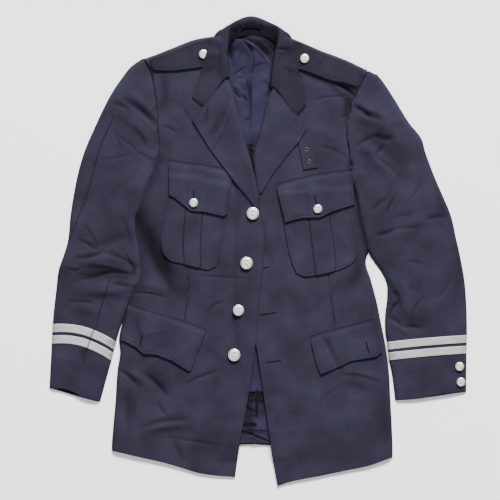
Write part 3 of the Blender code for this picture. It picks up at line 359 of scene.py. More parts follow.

# Finer creases than the solids have: from, to, bend to the left of that run, width and height. Each is
# steeper on its right. Shade is painted into one that sinks in.
Crease = namedtuple("Crease", "x0 y0 x1 y1 bend width height")
FRONT_CREASES = dict(
    right=[
        Crease(-216, 66, -188, 6, 4, 15, -3.4), Crease(-190, 20, -126, -84, -8, 18, -2.8),
        Crease(-172, 0, -150, -40, -3, 7, -1.6), Crease(-219, -73, -160, -82, 3, 2.2, -1.7),
        Crease(-160, -82, -157, -52, -6, 2.2, -1.5), Crease(-216, -60, -170, -66, 3, 7, 1.0),
        Crease(-168, 308, -166, 246, 3, 9, -1.8), Crease(-135, 253, -104, 196, 2, 3.5, -1.3),
        Crease(-169, 217, -138, 203, 2, 4, -1.2), Crease(-150, 240, -128, 200, 5, 8, 0.9),
        Crease(-108, -44, 0, -51, 1, 2.0, -1.2), Crease(-89, -118, -56, -90, 9, 3, -1.4),
        Crease(-243, -206, -209, -238, 2, 4.5, -2.6), Crease(-200, -213, -159, -252, 3, 5, -2.8),
        Crease(-222, -212, -196, -236, 2, 7, 1.8), Crease(-171, -266, -159, -288, -3, 3, -1.8),
        Crease(-199, -308, -126, -295, 5, 6, -2.6), Crease(-196, -318, -130, -306, 5, 8, 1.6),
        Crease(-128, -236, -69, -211, 4, 3.2, -1.8), Crease(-55, -242, -116, -296, 6, 14, 1.6),
        Crease(-169, -325, -42, -345, 2, 2.2, -1.0), Crease(-150, -332, -134, -368, 3, 6, -1.6),
        Crease(-95, -160, -60, -190, 3, 9, 0.9), Crease(-60, -95, -72, -140, -8, 12, 1.0),
        Crease(-232, -240, -226, -330, 3, 9, -1.8), Crease(-100, -60, -92, -104, 3, 10, 0.8),
    ],
    left=[
        Crease(137, 291, 167, 269, 2, 4.5, -4.6), Crease(122, 290, 160, 258, 0, 12, -2.0),
        Crease(80, 306, 130, 288, 0, 9, -1.6), Crease(154, 262, 152, 210, 0, 8, -1.8),
        Crease(92, 262, 162, 270, 2, 2.0, -1.3), Crease(148, 266, 152, 232, 2, 3, -1.5),
        Crease(141, 232, 160, 234, 1, 2, -1.2), Crease(157, 268, 158, 240, 0, 6, -2.6),
        Crease(80, 215, 140, 190, 3, 10, 0.8), Crease(100, 183, 158, 160, 4, 3.5, -0.9),
        Crease(115, -148, 150, -217, -4, 5, -1.8), Crease(148, -216, 214, -233, 5, 3, -1.3),
        Crease(144, -212, 210, -222, 3, 7, 1.4), Crease(102, -272, 142, -235, 2, 2.6, -1.0),
        Crease(60, -115, 100, -95, 3, 9, 0.7), Crease(212, -250, 190, -300, 3, 8, 0.8),
        Crease(45, -60, 75, -150, 6, 12, -0.9), Crease(150, 45, 162, -20, 4, 8, -1.0),
        Crease(172, -8, 160, -70, 5, 12, -2.2), Crease(10, 58, 18, -20, -3, 4, -1.4),
        Crease(22, 52, 34, -40, -3, 5, 1.0), Crease(95, -225, 110, -300, 5, 14, 0.9),
    ],
)
SLEEVE_CREASES = dict(
    right=[
        Crease(-236, 265, -178, 219, 3, 5.5, -3.6), Crease(-256, 258, -224, 245, 2, 5, -3.0),
        Crease(-228, 276, -184, 240, 2, 7, 1.6), Crease(-250, 244, -196, 196, 3, 9, 1.6),
        Crease(-254, 205, -208, 171, 2, 2.4, -1.4), Crease(-249, 198, -239, 175, 1, 2.4, -1.2),
        Crease(-277, 159, -214, 171, -3, 2.4, -1.3), Crease(-214, 170, -181, 155, 2, 3.5, -1.4),
        Crease(-213, 212, -196, 180, 2, 3.5, -1.1), Crease(-186, 192, -176, 184, 1, 3, -1.2),
        Crease(-319, -13, -268, -2, -3, 4.5, -3.0), Crease(-268, -2, -211, -30, 3, 4.5, -2.2),
        Crease(-332, -31, -308, -30, -4, 2.8, -2.2), Crease(-296, -51, -212, -44, 9, 2.8, -1.8),
        Crease(-255, -58, -217, -64, 1, 4, -2.4), Crease(-219, -44, -207, -24, 2, 3, -2.2),
        Crease(-325, -58, -250, -36, 3, 3, -1.4), Crease(-307, -192, -303, -172, 1, 3, -1.8),
        Crease(-306, -23, -222, -36, 4, 6, 2.2), Crease(-332, -89, -287, -92, 2, 2.6, -2.4),
        Crease(-318, 20, -279, 0, 2, 3.4, -1.9), Crease(-304, 45, -279, 4, 2, 3.2, -1.5),
        Crease(-234, -2, -214, -45, 2, 3.6, -2.0), Crease(-250, -85, -215, -60, 4, 7, 1.6),
        Crease(-240, 60, -222, 10, 3, 7, -1.2), Crease(-322, -72, -240, -70, -4, 8, 1.5),
    ],
    left=[
        Crease(163, 253, 196, 232, 2, 4.5, -4.2), Crease(186, 238, 214, 227, 2, 4.5, -3.4),
        Crease(219, 240, 203, 203, 3, 6, 2.4), Crease(172, 182, 202, 199, 2, 3.6, -2.6),
        Crease(200, 203, 238, 197, -5, 4, -3.0), Crease(205, 167, 222, 184, 1, 3, -2.4),
        Crease(172, 164, 200, 166, 2, 3, -1.0), Crease(200, 166, 247, 126, 4, 3.4, -1.8),
        Crease(166, 224, 200, 212, 2, 6, -1.6), Crease(224, 222, 257, 224, 1, 5, 1.2),
        Crease(198, 68, 228, 91, 3, 3, -1.7), Crease(223, 62, 238, 92, 2, 3.4, -2.6),
        Crease(206, 27, 238, 37, -2, 3.8, -3.0), Crease(238, 37, 279, 39, 2, 3, -1.8),
        Crease(234, 57, 268, 63, 1, 2.8, -1.2), Crease(290, 54, 334, 61, 1, 5, -2.6),
        Crease(262, 85, 288, 124, -2, 2.6, -1.3), Crease(270, 45, 300, 50, 2, 9, 1.4),
        Crease(255, -19, 293, -24, 1, 2.6, -1.1), Crease(221, -50, 249, -102, 5, 6, -3.4),
        Crease(240, -42, 262, -90, 3, 7, 1.6), Crease(224, -70, 246, -78, 1, 2.6, -2.2),
        Crease(228, -117, 247, -88, 3, 3.6, -2.6), Crease(223, -92, 240, -98, 1, 2.6, -2.0),
        Crease(226, -114, 251, -133, 2, 3.6, -2.6), Crease(251, -133, 285, -136, 2, 3, -2.2),
        Crease(226, -126, 262, -146, 2, 6, 1.6), Crease(268, -121, 286, -84, 4, 2.6, -1.5),
        Crease(308, -85, 335, -38, -7, 2.6, -1.4), Crease(348, -184, 314, -250, 0, 12, 2.4),
        Crease(302, 140, 322, 60, 3, 9, -1.6), Crease(338, 30, 352, -70, 4, 9, -1.4),
    ],
)
NECK_CREASES = [
    Crease(-43, 375, 28, 320, 12, 2.6, -3.0), Crease(-43, 369, 24, 316, 12, 3, 1.8),
    Crease(-38, 371, -9, 340, 6, 2.6, -2.8), Crease(-9, 340, -11.5, 309, 2, 2.4, -2.4),
    Crease(-8, 368, 29, 329, 4, 2.4, -2.6), Crease(-41.5, 306, -20.5, 319, 2, 2.0, -2.6),
    Crease(-43, 284, -30, 266, -1.5, 3, -3.2), Crease(-28, 271, -20, 261, 0, 2.6, -2.6),
    Crease(-20, 298, -16, 264, 1, 5, -2.0), Crease(-13, 296, -14, 229, 0, 2.2, -1.2),
    Crease(20.5, 296, 17, 269, 1, 3.4, -2.0), Crease(10.4, 296, 20.5, 281, 1, 2.4, -1.8),
    Crease(-6, 319, 15.5, 326, 2, 2.2, -1.0), Crease(-50, 345, -44, 318, 2, 3, -1.4),
    Crease(-19, 182, -6, 180, 1, 2.0, -2.0), Crease(-18, 179, -7, 165, 1, 2.4, -2.0),
    Crease(-23, 227, -13, 229, 1, 2.2, -1.4), Crease(-45, 290, -28, 276, 1, 3, 1.2),
    Crease(-46, 352, -30, 340, 3, 5, -0.8), Crease(0, 350, 20, 340, 3, 4, -0.9),
    Crease(-38, 300, -26, 300, 1, 3, -1.0), Crease(-2, 300, -4, 240, 1, 4, 0.8),
]
VENT_CREASES = [
    Crease(-6, -150, 0, -242, 2, 3, -1.0), Crease(-30, -249.5, 30, -249.5, 0, 2.6, -3.4),
    Crease(-24, -254, 24, -257, 1, 4, -1.6), Crease(-2.6, -240, -2.6, -294, 0, 2.4, -3.4),
    Crease(-19, -276.6, -3, -286.7, 0, 1.8, 1.4), Crease(-24, -272, -6, -283, 0, 3, -2.0),
    Crease(-30, -304, -3, -304, 0, 3.4, -3.0), Crease(8, -262, 22, -306, 3, 5, 0.8),
]
FACING_CREASES = [
    Crease(-36, -317, -9, -320, 0, 3, -3.0), Crease(-13, -320, 21, -334, 0, 2.0, -1.2),
    Crease(-13, -316, 21, -330, 0, 3, 1.0),
]
STRAP_CREASES = dict(
    right=[Crease(-95, 322, -106, 340, 2, 4, -0.9), Crease(-150, 345, -140, 320, 2, 7, 0.6)],
    left=[Crease(118, 338, 108, 312, -3, 4, -0.8), Crease(140, 330, 134, 300, 2, 6, 0.7)],
)
LAPEL_CREASES = dict(
    right=[Crease(-78, 182, -43, 264, -3, 6, 2.2), Crease(-86, 192, -52, 258, -3, 8, -2.2),
           Crease(-90, 250, -92, 220, 1, 3, -1.8), Crease(-34, 170, -26, 130, 2, 6, -0.8)],
    left=[Crease(60, 205, 20, 150, 4, 14, 0.8)],
)
FLAP_CREASES = dict(
    right=[Crease(-222, -105, -150, -122, 3, 5, 0.9), Crease(-205, -150, -150, -140, 4, 6, 0.8),
           Crease(-215, -120, -206, -165, 2, 4, -1.0)],
    left=[Crease(108, -150, 130, -190, 3, 5, -0.9), Crease(120, -150, 138, -185, 3, 6, 0.7)],
)
COLLAR_CREASES = [
    Crease(-46, 386, -38, 372, 2, 4, -1.8), Crease(-30, 392, -36, 406, 1, 4, 1.0),
    Crease(2, 376, 8, 402, 1, 2.5, -1.4), Crease(10, 378, 16, 400, 1, 2.5, 1.0),
    Crease(40, 330, 62, 300, 5, 10, 0.8), Crease(-60, 330, -88, 290, 4, 12, 0.8),
    Crease(31, 350, 51, 349, 1, 2.4, -1.6), Crease(-72, 372, -52, 392, 2, 4, -1.0),
]
# Shade painted into hollows too deep for light to get in: from, to, width and darkness
HOLLOWS = dict(
    lining_neck=[
        Fold(-50, 372, -48, 345, 7, 0.7), Fold(14, 372, 34, 352, 9, 0.8), Fold(34, 352, 30, 300, 4, 0.8),
        Fold(-40, 378, 30, 376, 4, 0.8), Fold(-20, 172, -2, 150, 12, 0.6), Fold(-2, 362, 12, 344, 4, 0.4),
    ],
    lining_vent=[
        Fold(-28, -249.5, 28, -249.5, 3, 1.2), Fold(-28, -257, 6, -255, 7, 0.6),
        Fold(-2.6, -246, -2.6, -286, 1.8, 1.0), Fold(-1, -252, 8, -262, 5, 0.8),
        Fold(-16, -262, -17, -318, 8, 0.4), Fold(-34, -317, -8, -317, 2.6, 1.1),
        Fold(-30, -304, -5, -304, 2.4, 0.7),
    ],
    hem_facing=[Fold(-50, -322, -8, -322, 9, 0.35)],
)
DARTS = dict(
    right=[[(-122, -30), (-121.5, -68), (-125, -103), (-128, -121)]],
    left=[[(122, -40), (126, -68), (129.5, -103), (136, -133)]],
)
SLEEVE_SEAMS = dict(
    right=[[(-252, 234.5), (-266, 203), (-276.5, 177), (-283.5, 150.5), (-292, 115.5), (-301, 89),
            (-318.5, 45), (-329, 19)],
           [(-259, -51), (-268, -80.5), (-276.5, -108.5), (-282, -133), (-289, -143.5), (-297.5, -170),
            (-304.5, -194)]],
    left=[],
)

Buttonhole = namedtuple("Buttonhole", "name x0 y0 x1 y1 host")
BUTTONHOLES = [
    Buttonhole("buttonhole_front_2", 9, -30, 20, -27, "front_left_cloth"),
    Buttonhole("buttonhole_front_3", 4, -111.5, 32, -107, "front_left_cloth"),
    Buttonhole("buttonhole_front_4", 14, -194, 40, -191, "front_left_cloth"),
    Buttonhole("buttonhole_hip_right", -205, -165, -201, -143, "hip_flap_right_cloth"),
    Buttonhole("buttonhole_hip_left", 193, -177, 188, -158, "hip_flap_left_cloth"),
    Buttonhole("buttonhole_breast_right", -112, 92, -112, 105, "breast_flap_right_cloth"),
    Buttonhole("buttonhole_breast_left", 101.5, 83, 98, 96.5, "breast_flap_left_cloth"),
]
# The section of a domed shank button, as shares of its radius above its neck, with its tarnish
Turn = namedtuple("Turn", "radius height tarnish")
BUTTON_TURNS = [
    Turn(0.0, 0.0, 0.6), Turn(0.26, 0.0, 0.6), Turn(0.26, 0.002, 0.6), Turn(0.9, 0.03, 0.4),
    Turn(0.97, 0.06, 0.3), Turn(1.0, 0.12, 0.1), Turn(0.985, 0.18, 0), Turn(0.94, 0.215, 0),
    Turn(0.9, 0.215, 0.2), Turn(0.87, 0.185, 0.9), Turn(0.81, 0.185, 0.9), Turn(0.77, 0.215, 0.3),
    Turn(0.7, 0.235, 0), Turn(0.56, 0.25, 0), Turn(0.52, 0.25, 0.7), Turn(0.45, 0.25, 1.0),
    Turn(0.36, 0.255, 1.0), Turn(0.28, 0.26, 0.9), Turn(0.2, 0.265, 0.4), Turn(0.12, 0.27, 0),
    Turn(0.0, 0.27, 0),
]
PETALS = 8  # of the plain rosette inside this share of the radius
PETAL_REACH = 0.53

TRIMS = {}  # what is sewn to each cloth piece
COLLAR_STEPS = 12  # grid lines from one rib of the collar to the next
# Satin's creases get this much more painted shade than those of wool
DARKEN_SATIN = 1.7  # satin's creases against those of wool
EYELET_TURNS = [(2.3, -0.4), (2.3, 0.3), (2.45, 0.55), (2.65, 0.6), (2.85, 0.45), (3.0, 0.05)]
EYELET_HOLE = 2.32
PIN_HOLE = 1.1
GORGE_TUCK = dict(right=np.array([-2.5, 2.2]), left=np.array([2.4, 2.6]))  # a lapel's run under the collar
FLOOR_HALF, FLOOR_Z = 3.0, -0.0005  # in metres
WORLD_STRENGTH = 0.42
LIGHTS = [
    ("key_light", (1.6, 8.0, 5.2), (4.4, 2.4), 4000, "#ffffff"),
    ("fill_light", (-1.0, -1.6, 3.0), (2.6, 2.6), 50, "#fbfbff"),
]


def reached(points):
    """How far along a line each of its points is."""
    return np.concatenate([[0.0], np.cumsum(np.linalg.norm(np.diff(points, axis=0), axis=1))])


def smooth_between(values, slope, i, w, span=1.0):
    """Values between row i and the next, a share w of the way, with the slopes given at the rows."""
    return (values[i] * (2 * w**3 - 3 * w**2 + 1) + slope[i] * span * (w**3 - 2 * w**2 + w)
            + values[i + 1] * (3 * w**2 - 2 * w**3) + slope[i + 1] * span * (w**3 - w**2))


def curve_at(points, shares, smooth=True):
    """Points along the line through the given ones, at shares of its length."""
    points = np.array(points, float)
    at = reached(points)
    where = np.clip(np.asarray(shares, float), 0, 1) * at[-1]
    if not smooth or len(points) == 2:
        return np.stack([np.interp(where, at, points[:, k]) for k in range(points.shape[1])], -1)
    i = np.clip(np.searchsorted(at, where, side="right") - 1, 0, len(points) - 2)
    span = (at[i + 1] - at[i])[..., None]
    return smooth_between(points, np.gradient(points, at, axis=0), i, (where - at[i])[..., None] / span, span)


def length_of(points):
    return float(np.linalg.norm(np.diff(np.array(points, float), axis=0), axis=1).sum())


def inset(points, distance, side):
    """The same line moved sideways: to its left for side 1, to its right for side -1."""
    points = np.array(points, float)
    along = np.gradient(points, axis=0)
    along /= np.linalg.norm(along, axis=1)[:, None]
    return points + side * distance * np.stack([-along[:, 1], along[:, 0]], -1)


def patch(top, foot, start, end, u, v, sharp=()):
    """A grid filled in between four edges. u runs along top and foot, v along start and end."""
    if np.ndim(u) == 1:
        u, v = np.meshgrid(u, v, indexing="ij")
    t, f = (curve_at(line, u, name not in sharp) for name, line in (("top", top), ("foot", foot)))
    s, e = (curve_at(line, v, name not in sharp) for name, line in (("start", start), ("end", end)))
    u, v = u[..., None], v[..., None]
    corners = np.array([top[0], top[-1], foot[0], foot[-1]], float)
    return (
        (1 - v) * t + v * f + (1 - u) * s + u * e
        - (1 - u) * (1 - v) * corners[0] - u * (1 - v) * corners[1]
        - (1 - u) * v * corners[2] - u * v * corners[3]
    )


def stations(length, step, start=(0,), end=(0,)):
    """Shares along an edge at even steps, with closer grid lines at given distances from either end."""
    near = np.concatenate([np.array(start) / length, 1 - np.array(end) / length])
    even = np.linspace(0, 1, max(2, round(length / step) + 1))
    keep = [share for share in even if np.abs(near - share).min() > 0.4 * step / length]
    return np.unique(np.round(np.concatenate([keep, near]), 6))


def stations_of(name, rows=(0,)):
    """The shares across and down a piece of the spacing table, with closer grid lines at all its edges."""
    row = SPACING[name]
    return stations(row.width, row.across, rows, rows), stations(row.length, row.down, rows, rows)


def along(points, line):
    """How far points are from a line, which side of it they are on, and how far along it as a share."""
    line = np.array(line, float)
    done = reached(line)
    away = np.full(points.shape[:-1], np.inf)
    side, share = np.ones(away.shape), np.zeros(away.shape)
    for k, (a, b) in enumerate(zip(line[:-1], line[1:])):
        step = b - a
        part = np.clip(((points - a) @ step) / (step @ step), 0, 1)
        off = points - a - part[..., None] * step
        distance = np.linalg.norm(off, axis=-1)
        nearer = distance < away
        away = np.where(nearer, distance, away)
        side = np.where(nearer, np.sign(step[0] * off[..., 1] - step[1] * off[..., 0]), side)
        share = np.where(nearer, (done[k] + part * (done[k + 1] - done[k])) / done[-1], share)
    return away, side, share


def between_cells(values, i, j, w):
    """What a map holds between four of its cells."""
    i_next, j_next = (i + 1) % len(values), (j + 1) % len(values[0])
    near = values[i, j] * (1 - w[..., 0]) + values[i_next, j] * w[..., 0]
    far = values[i, j_next] * (1 - w[..., 0]) + values[i_next, j_next] * w[..., 0]
    return near * (1 - w[..., 1]) + far * w[..., 1]


def noise(places, size, seed):
    """Smooth bumps between -1 and 1, of a size in millimetres, the same at each run."""
    lattice = np.random.default_rng(seed).uniform(-1, 1, (64, 64))
    at = np.asarray(places, float)[..., :2] / size + 4096
    cell = np.floor(at).astype(int)
    w = at - cell
    return between_cells(lattice, cell[..., 0] % 64, cell[..., 1] % 64, w * w * (3 - 2 * w))


def bell(away, width):
    """1 where away is 0, falling off softly over a width."""
    return np.exp(-((away / width) ** 2))


def arc(crease, count=13):
    """The line of a crease, bowed to its left by its bend."""
    start, end = np.array([crease.x0, crease.y0]), np.array([crease.x1, crease.y1])
    t = np.linspace(0, 1, count)[:, None]
    run = end - start
    left = np.array([-run[1], run[0]]) / np.linalg.norm(run)
    return start + run * t + left * crease.bend * 4 * t * (1 - t)


def depths(grid):
    """How far in each point lies from the grid's four sides, along its rows."""
    across = np.linalg.norm(np.diff(grid, axis=0), axis=-1)
    down = np.linalg.norm(np.diff(grid, axis=1), axis=-1)
    start = np.concatenate([np.zeros((1, grid.shape[1])), np.cumsum(across, axis=0)])
    top = np.concatenate([np.zeros((grid.shape[0], 1)), np.cumsum(down, axis=1)], axis=1)
    return dict(start=start, end=start[-1] - start, top=top, foot=top[:, -1:] - top)


def normals_of(grid):
    normal = np.cross(np.gradient(grid, axis=0), np.gradient(grid, axis=1))
    normal /= np.linalg.norm(normal, axis=-1)[..., None]
    return normal * np.sign(normal[..., 2].sum())


def quads_of(count_u, count_v):
    """The squares of a grid's points, numbered along v first."""
    i, j = np.meshgrid(np.arange(count_u - 1), np.arange(count_v - 1), indexing="ij")
    a = (i * count_v + j).ravel()
    return np.stack([a, a + count_v, a + count_v + 1, a + 1], -1)


def sides_of(cut):
    """Both sides of a cut piece, from the ends of its top to those of its foot."""
    return [[cut["top"][k], *cut.get(name, ()), cut["foot"][k]] for k, name in ((0, "start"), (-1, "end"))]


class Pile:
    """How high the laid pieces reach, as a map of heights in small square cells."""

    CELL = 1.0
    LOW = np.array([-390.0, -432.0])
    SIZE = (780, 862)

    def __init__(self, height=None):
        self.height = np.zeros(self.SIZE) if height is None else height

    def copy(self):
        return Pile(self.height.copy())

    def lay(self, grid):
        """Raises the map to a grid of points, filled in between its lines."""
        times = int(np.ceil(max(np.linalg.norm(np.diff(grid, axis=k), axis=-1).max() for k in (0, 1)) / 0.7))
        t = np.linspace(0, 1, times + 1)
        a, b, c, d = grid[:-1, :-1], grid[1:, :-1], grid[:-1, 1:], grid[1:, 1:]
        for s in t:
            left, right = a + (b - a) * s, c + (d - c) * s
            for w in t:
                point = left + (right - left) * w
                cell = np.rint((point[..., :2] - self.LOW) / self.CELL).astype(int)
                where = tuple(np.clip(cell[..., k], 0, self.SIZE[k] - 1) for k in range(2))
                np.maximum.at(self.height, where, point[..., 2])

    def at(self, points, height=None):
        """The height under each point, between the middles of the cells around it."""
        height = self.height if height is None else height
        place = np.clip((points[..., :2] - self.LOW) / self.CELL, 0, np.array(self.SIZE) - 1.001)
        cell = place.astype(int)
        return between_cells(height, cell[..., 0], cell[..., 1], place - cell)

    def eased(self, points, slope=0.25, reach=28, softness=14):
        """The height under each point as cloth spans it, with the steps below eased out."""
        low = np.floor((points[..., :2].min((0, 1)) - self.LOW) / self.CELL).astype(int) - reach - 4
        high = np.ceil((points[..., :2].max((0, 1)) - self.LOW) / self.CELL).astype(int) + reach + 4
        window = tuple(slice(max(a, 0), b) for a, b in zip(low, high))
        eased = self.height[window]
        for _ in range(reach):
            for axis in (0, 1):
                for way in (1, -1):
                    eased = np.maximum(eased, np.roll(eased, way, axis) - slope * self.CELL)
        for _ in range(softness):
            eased = (eased + sum(np.roll(eased, way, axis) for axis in (0, 1) for way in (1, -1))) / 5
        whole = self.height.copy()
        whole[window] = eased
        return self.at(points, whole)

    def without_armholes(self):
        """The pile without the fronts beside the sleeve heads, which meet them edge to edge."""
        cleared = self.copy()
        x = self.LOW[0] + np.arange(self.SIZE[0]) * self.CELL
        y = self.LOW[1] + np.arange(self.SIZE[1]) * self.CELL
        beside = (np.abs(x - 4)[:, None] > 148) & (y[None, :] > 165)
        cleared.height[beside] = np.minimum(cleared.height[beside], BACK_WALL)
        return cleared


class Panel:
    """One cut piece on its grid: its plan, how far it stands above what it lies on, and the shade painted
    into it.
    """

    def __init__(self, grid):
        self.grid = grid
        self.depth = depths(grid)
        self.loft = np.zeros(grid.shape[:2])
        self.seam = np.zeros(grid.shape[:2])

    @classmethod
    def cut(cls, cut, u, v, sharp=()):
        """The panel of a cut piece, from its edges."""
        return cls(patch(cut["top"], cut["foot"], *sides_of(cut), u, v, sharp))

    def crease(self, rows):
        """Soft folds, steeper on their right side, that die away at both ends, with shade painted into those
        that sink in.
        """
        for row in rows:
            away, side, share = along(self.grid, arc(row))
            width = row.width * np.where(side > 0, 1.0, 0.6)
            height = row.height * bell(away, width) * np.sin(math.pi * share.clip(0.02, 0.98)) ** 0.5
            self.loft += height
            self.seam += np.clip(-height, 0, 3) * 0.21
        return self

    def groove(self, line, width=0.9, deep=0.5, dark=0.8):
        """A sewn join or dart that pulls the cloth in along a line, with shade painted along it."""
        away, _, _ = along(self.grid, line)
        self.loft -= deep * bell(away, width)
        self.seam += dark * bell(away, width)
        return self

    def rumple(self, size, height, seed, stretch=(1, 1)):
        """Random unevenness, which may be drawn out in one direction."""
        self.loft += height * noise(self.grid / np.array(stretch), size, seed)
        return self

    def gathers(self, run, side, pitch, reach, seed):
        """Small ripples along one side's run that die away from another side."""
        ripple = noise(np.stack([self.depth[run], self.depth[side] * 0.3], -1), pitch, seed)
        return ripple * np.exp(-self.depth[side] / reach)

    def hem(self, sides, radius=1.0, stitched=True, pull=1.0):
        """Rounds sewn edges, and presses in a line of stitches beside them, with shade painted along both."""
        edge = np.min([self.depth[side] for side in sides], axis=0)
        self.loft -= radius * (1 - np.sqrt(1 - np.clip(1 - edge / radius, 0, 1) ** 2))
        self.seam += 0.5 * np.exp(-edge / 0.8)
        if stitched:
            pressed = pull * bell(edge - STITCH_INSET, STITCH_WIDTH)
            self.loft += 0.15 * pull * np.sin(math.pi * np.clip(edge / STITCH_INSET, 0, 1)) - 0.175 * pressed
            self.seam += 0.225 * pressed
        return self

    def settle(self, pile, wall, folded=(), radius=FOLD_RADIUS, slope=0.25, softness=14):
        """Lays the piece on the pile, turned down at its folded edges."""
        foot = pile.at(self.grid)
        body = np.maximum(pile.eased(self.grid, slope, softness=softness) + GAP + wall + self.loft,
                          foot + 0.3)
        self.upper = np.dstack([self.grid, body])
        down = np.zeros_like(self.upper)
        down[..., 2] = 1.0
        if folded:
            depth = np.min([along(self.grid, line[::3])[0] for line in folded], axis=0) / radius
            round_off = np.sqrt(1 - (1 - np.clip(depth, 0.004, 1)) ** 2)
            self.upper[..., 2] = foot + (body - foot) * round_off
            near = np.clip(2 - depth, 0, 1)[..., None]
            down = down * (1 - near) + normals_of(self.upper) * near
            down /= np.linalg.norm(down, axis=-1)[..., None]
        self.lower = self.upper - down * wall
        self.lower[..., 2] = np.maximum(self.lower[..., 2], np.minimum(foot, self.upper[..., 2] - 0.1))
        return self

    def stitch_line(self, side, sides, inset=STITCH_INSET):
        """Points on the piece at one depth from a side, as far as the other stitched sides' own lines."""
        axis = 0 if side in ("start", "end") else 1
        depth = np.moveaxis(self.depth[side], axis, -1)
        layers = [self.upper[..., k] for k in range(3)]
        layers += [self.depth[other] for other in sides if other != side]
        rows = []
        for column in zip(depth, *(np.moveaxis(layer, axis, -1) for layer in layers)):
            order = np.argsort(column[0])
            values = [np.interp(inset, column[0][order], layer[order]) for layer in column[1:]]
            if min(values[3:], default=inset) >= inset - 0.01:
                rows.append(values[:3])
        return np.array(rows)


def wall_faces(count_u, count_v):
    quads = quads_of(count_u, count_v)
    n = count_u * count_v
    index = np.arange(n).reshape(count_u, count_v)
    rim = np.concatenate([index[:, 0], index[-1, 1:], index[-2::-1, -1], index[0, -2:0:-1]])
    after = np.roll(rim, -1)
    return np.concatenate([quads, quads[:, ::-1] + n, np.stack([rim, rim + n, after + n, after], -1)])


def add_piece(name, points, faces, material, node=None, cloth=None, seam=None):
    """Makes points in millimetres an object that rides on the jacket and stands for a solid."""
    a, b, c = (points[faces[:, k]] for k in range(3))
    if (a * np.cross(b, c)).sum() < 0:
        faces = faces[:, ::-1]
    mesh = bpy.data.meshes.new(name)
    mesh.from_pydata((points - ORIGIN) * MM, [], faces.tolist())
    corners = np.zeros(len(mesh.loops), int)
    mesh.loops.foreach_get("vertex_index", corners)
    if cloth is not None:
        places = (cloth[corners] * MM).ravel().astype(np.float32)
        mesh.uv_layers.new(name="cloth").uv.foreach_set("vector", places)
    if seam is not None:
        mesh.attributes.new("seam", "FLOAT", "POINT").data.foreach_set("value", seam.astype(np.float32))
    mesh.shade_smooth()
    mesh.set_sharp_from_angle(angle=math.radians(48))
    mesh.materials.append(material)
    return add_object(name, mesh, node)


def add_object(name, mesh, node=None):
    piece = bpy.data.objects.new(name, mesh)
    bpy.context.scene.collection.objects.link(piece)
    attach(piece, "root")
    if node:
        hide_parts(node)
    return piece


def add_cloth(node, panel, material, piles, sewn=()):
    """Lays a panel on the piles, makes it an object and sews it on along the sides given."""
    lay_on(piles, panel.upper)
    upper, lower = panel.upper.reshape(-1, 3), panel.lower.reshape(-1, 3)
    count_u, count_v = panel.upper.shape[:2]
    measured = depths(panel.upper)
    across, down = measured["start"].ravel(), measured["top"].ravel()
    seam = np.clip(panel.seam.ravel(), 0, 1)
    piece = add_piece(node + "_cloth", np.concatenate([upper, lower]), wall_faces(count_u, count_v), material,
                      node, np.tile(np.stack([across, down], -1), (2, 1)), np.tile(seam, 2))
    if sewn:
        lines = [line for line in (panel.stitch_line(side, sewn) for side in sewn) if len(line) > 3]
        trim(piece.name, add_stitches(node + "_stitching", lines, THREAD))


def lay_on(piles, grid):
    for pile in piles:
        pile.lay(grid)


def trim(host, piece):
    """Notes a piece as sewn to a cloth."""
    TRIMS.setdefault(host, []).append(piece)


def add_stitches(name, lines, material, pitch=3.0, long=2.2, thick=0.24):
    """Single stitches along lines of points on the cloth, as small spindles of thread."""
    turns = np.linspace(0, math.tau, 4, endpoint=False)
    points, faces = [], []
    for line in lines:
        at = reached(line)
        for middle in np.arange(pitch / 2, at[-1] - pitch / 2, pitch):
            ends = np.array([[np.interp(middle + way * long / 2, at, line[:, k]) for k in range(3)]
                             for way in (-1, 1)])
            run = ends[1] - ends[0]
            side = np.array([-run[1], run[0], 0]) / np.linalg.norm(run[:2]) * thick
            lift = np.array([0, 0, thick * 0.8])
            ring = [side * math.cos(turn) + lift * (math.sin(turn) + 0.4) for turn in turns]
            first = len(points)
            points += [ends[0], *(ends[0] + run * 0.25 + r for r in ring),
                       *(ends[0] + run * 0.75 + r for r in ring), ends[1]]
            for k in range(4):
                after = (k + 1) % 4
                faces += [(first, first + 1 + k, first + 1 + after, first + 1 + after),
                          (first + 1 + k, first + 5 + k, first + 5 + after, first + 1 + after),
                          (first + 9, first + 5 + after, first + 5 + k, first + 5 + k)]
    mesh = bpy.data.meshes.new(name)
    mesh.from_pydata((np.array(points) - ORIGIN) * MM, [], [list(dict.fromkeys(face)) for face in faces])
    mesh.shade_smooth()
    mesh.materials.append(material)
    return add_object(name, mesh)


def linear(colour):
    """An sRGB hex colour as linear red, green, blue and alpha."""
    values = [int(colour[k:k + 2], 16) / 255 for k in (1, 3, 5)]
    return [v / 12.92 if v <= 0.04045 else ((v + 0.055) / 1.055) ** 2.4 for v in values] + [1.0]


def set_inputs(tree, node, values):
    """Gives each named input a value or another node's output."""
    for key, value in values.items():
        if isinstance(value, bpy.types.NodeSocket):
            tree.links.new(value, node.inputs[key])
        else:
            node.inputs[key].default_value = value


def add_node(tree, kind, values, **settings):
    """Adds a node, sets it up and fills in its inputs."""
    made = tree.nodes.new(kind)
    for key, value in settings.items():
        setattr(made, key, value)
    set_inputs(tree, made, values)
    return made


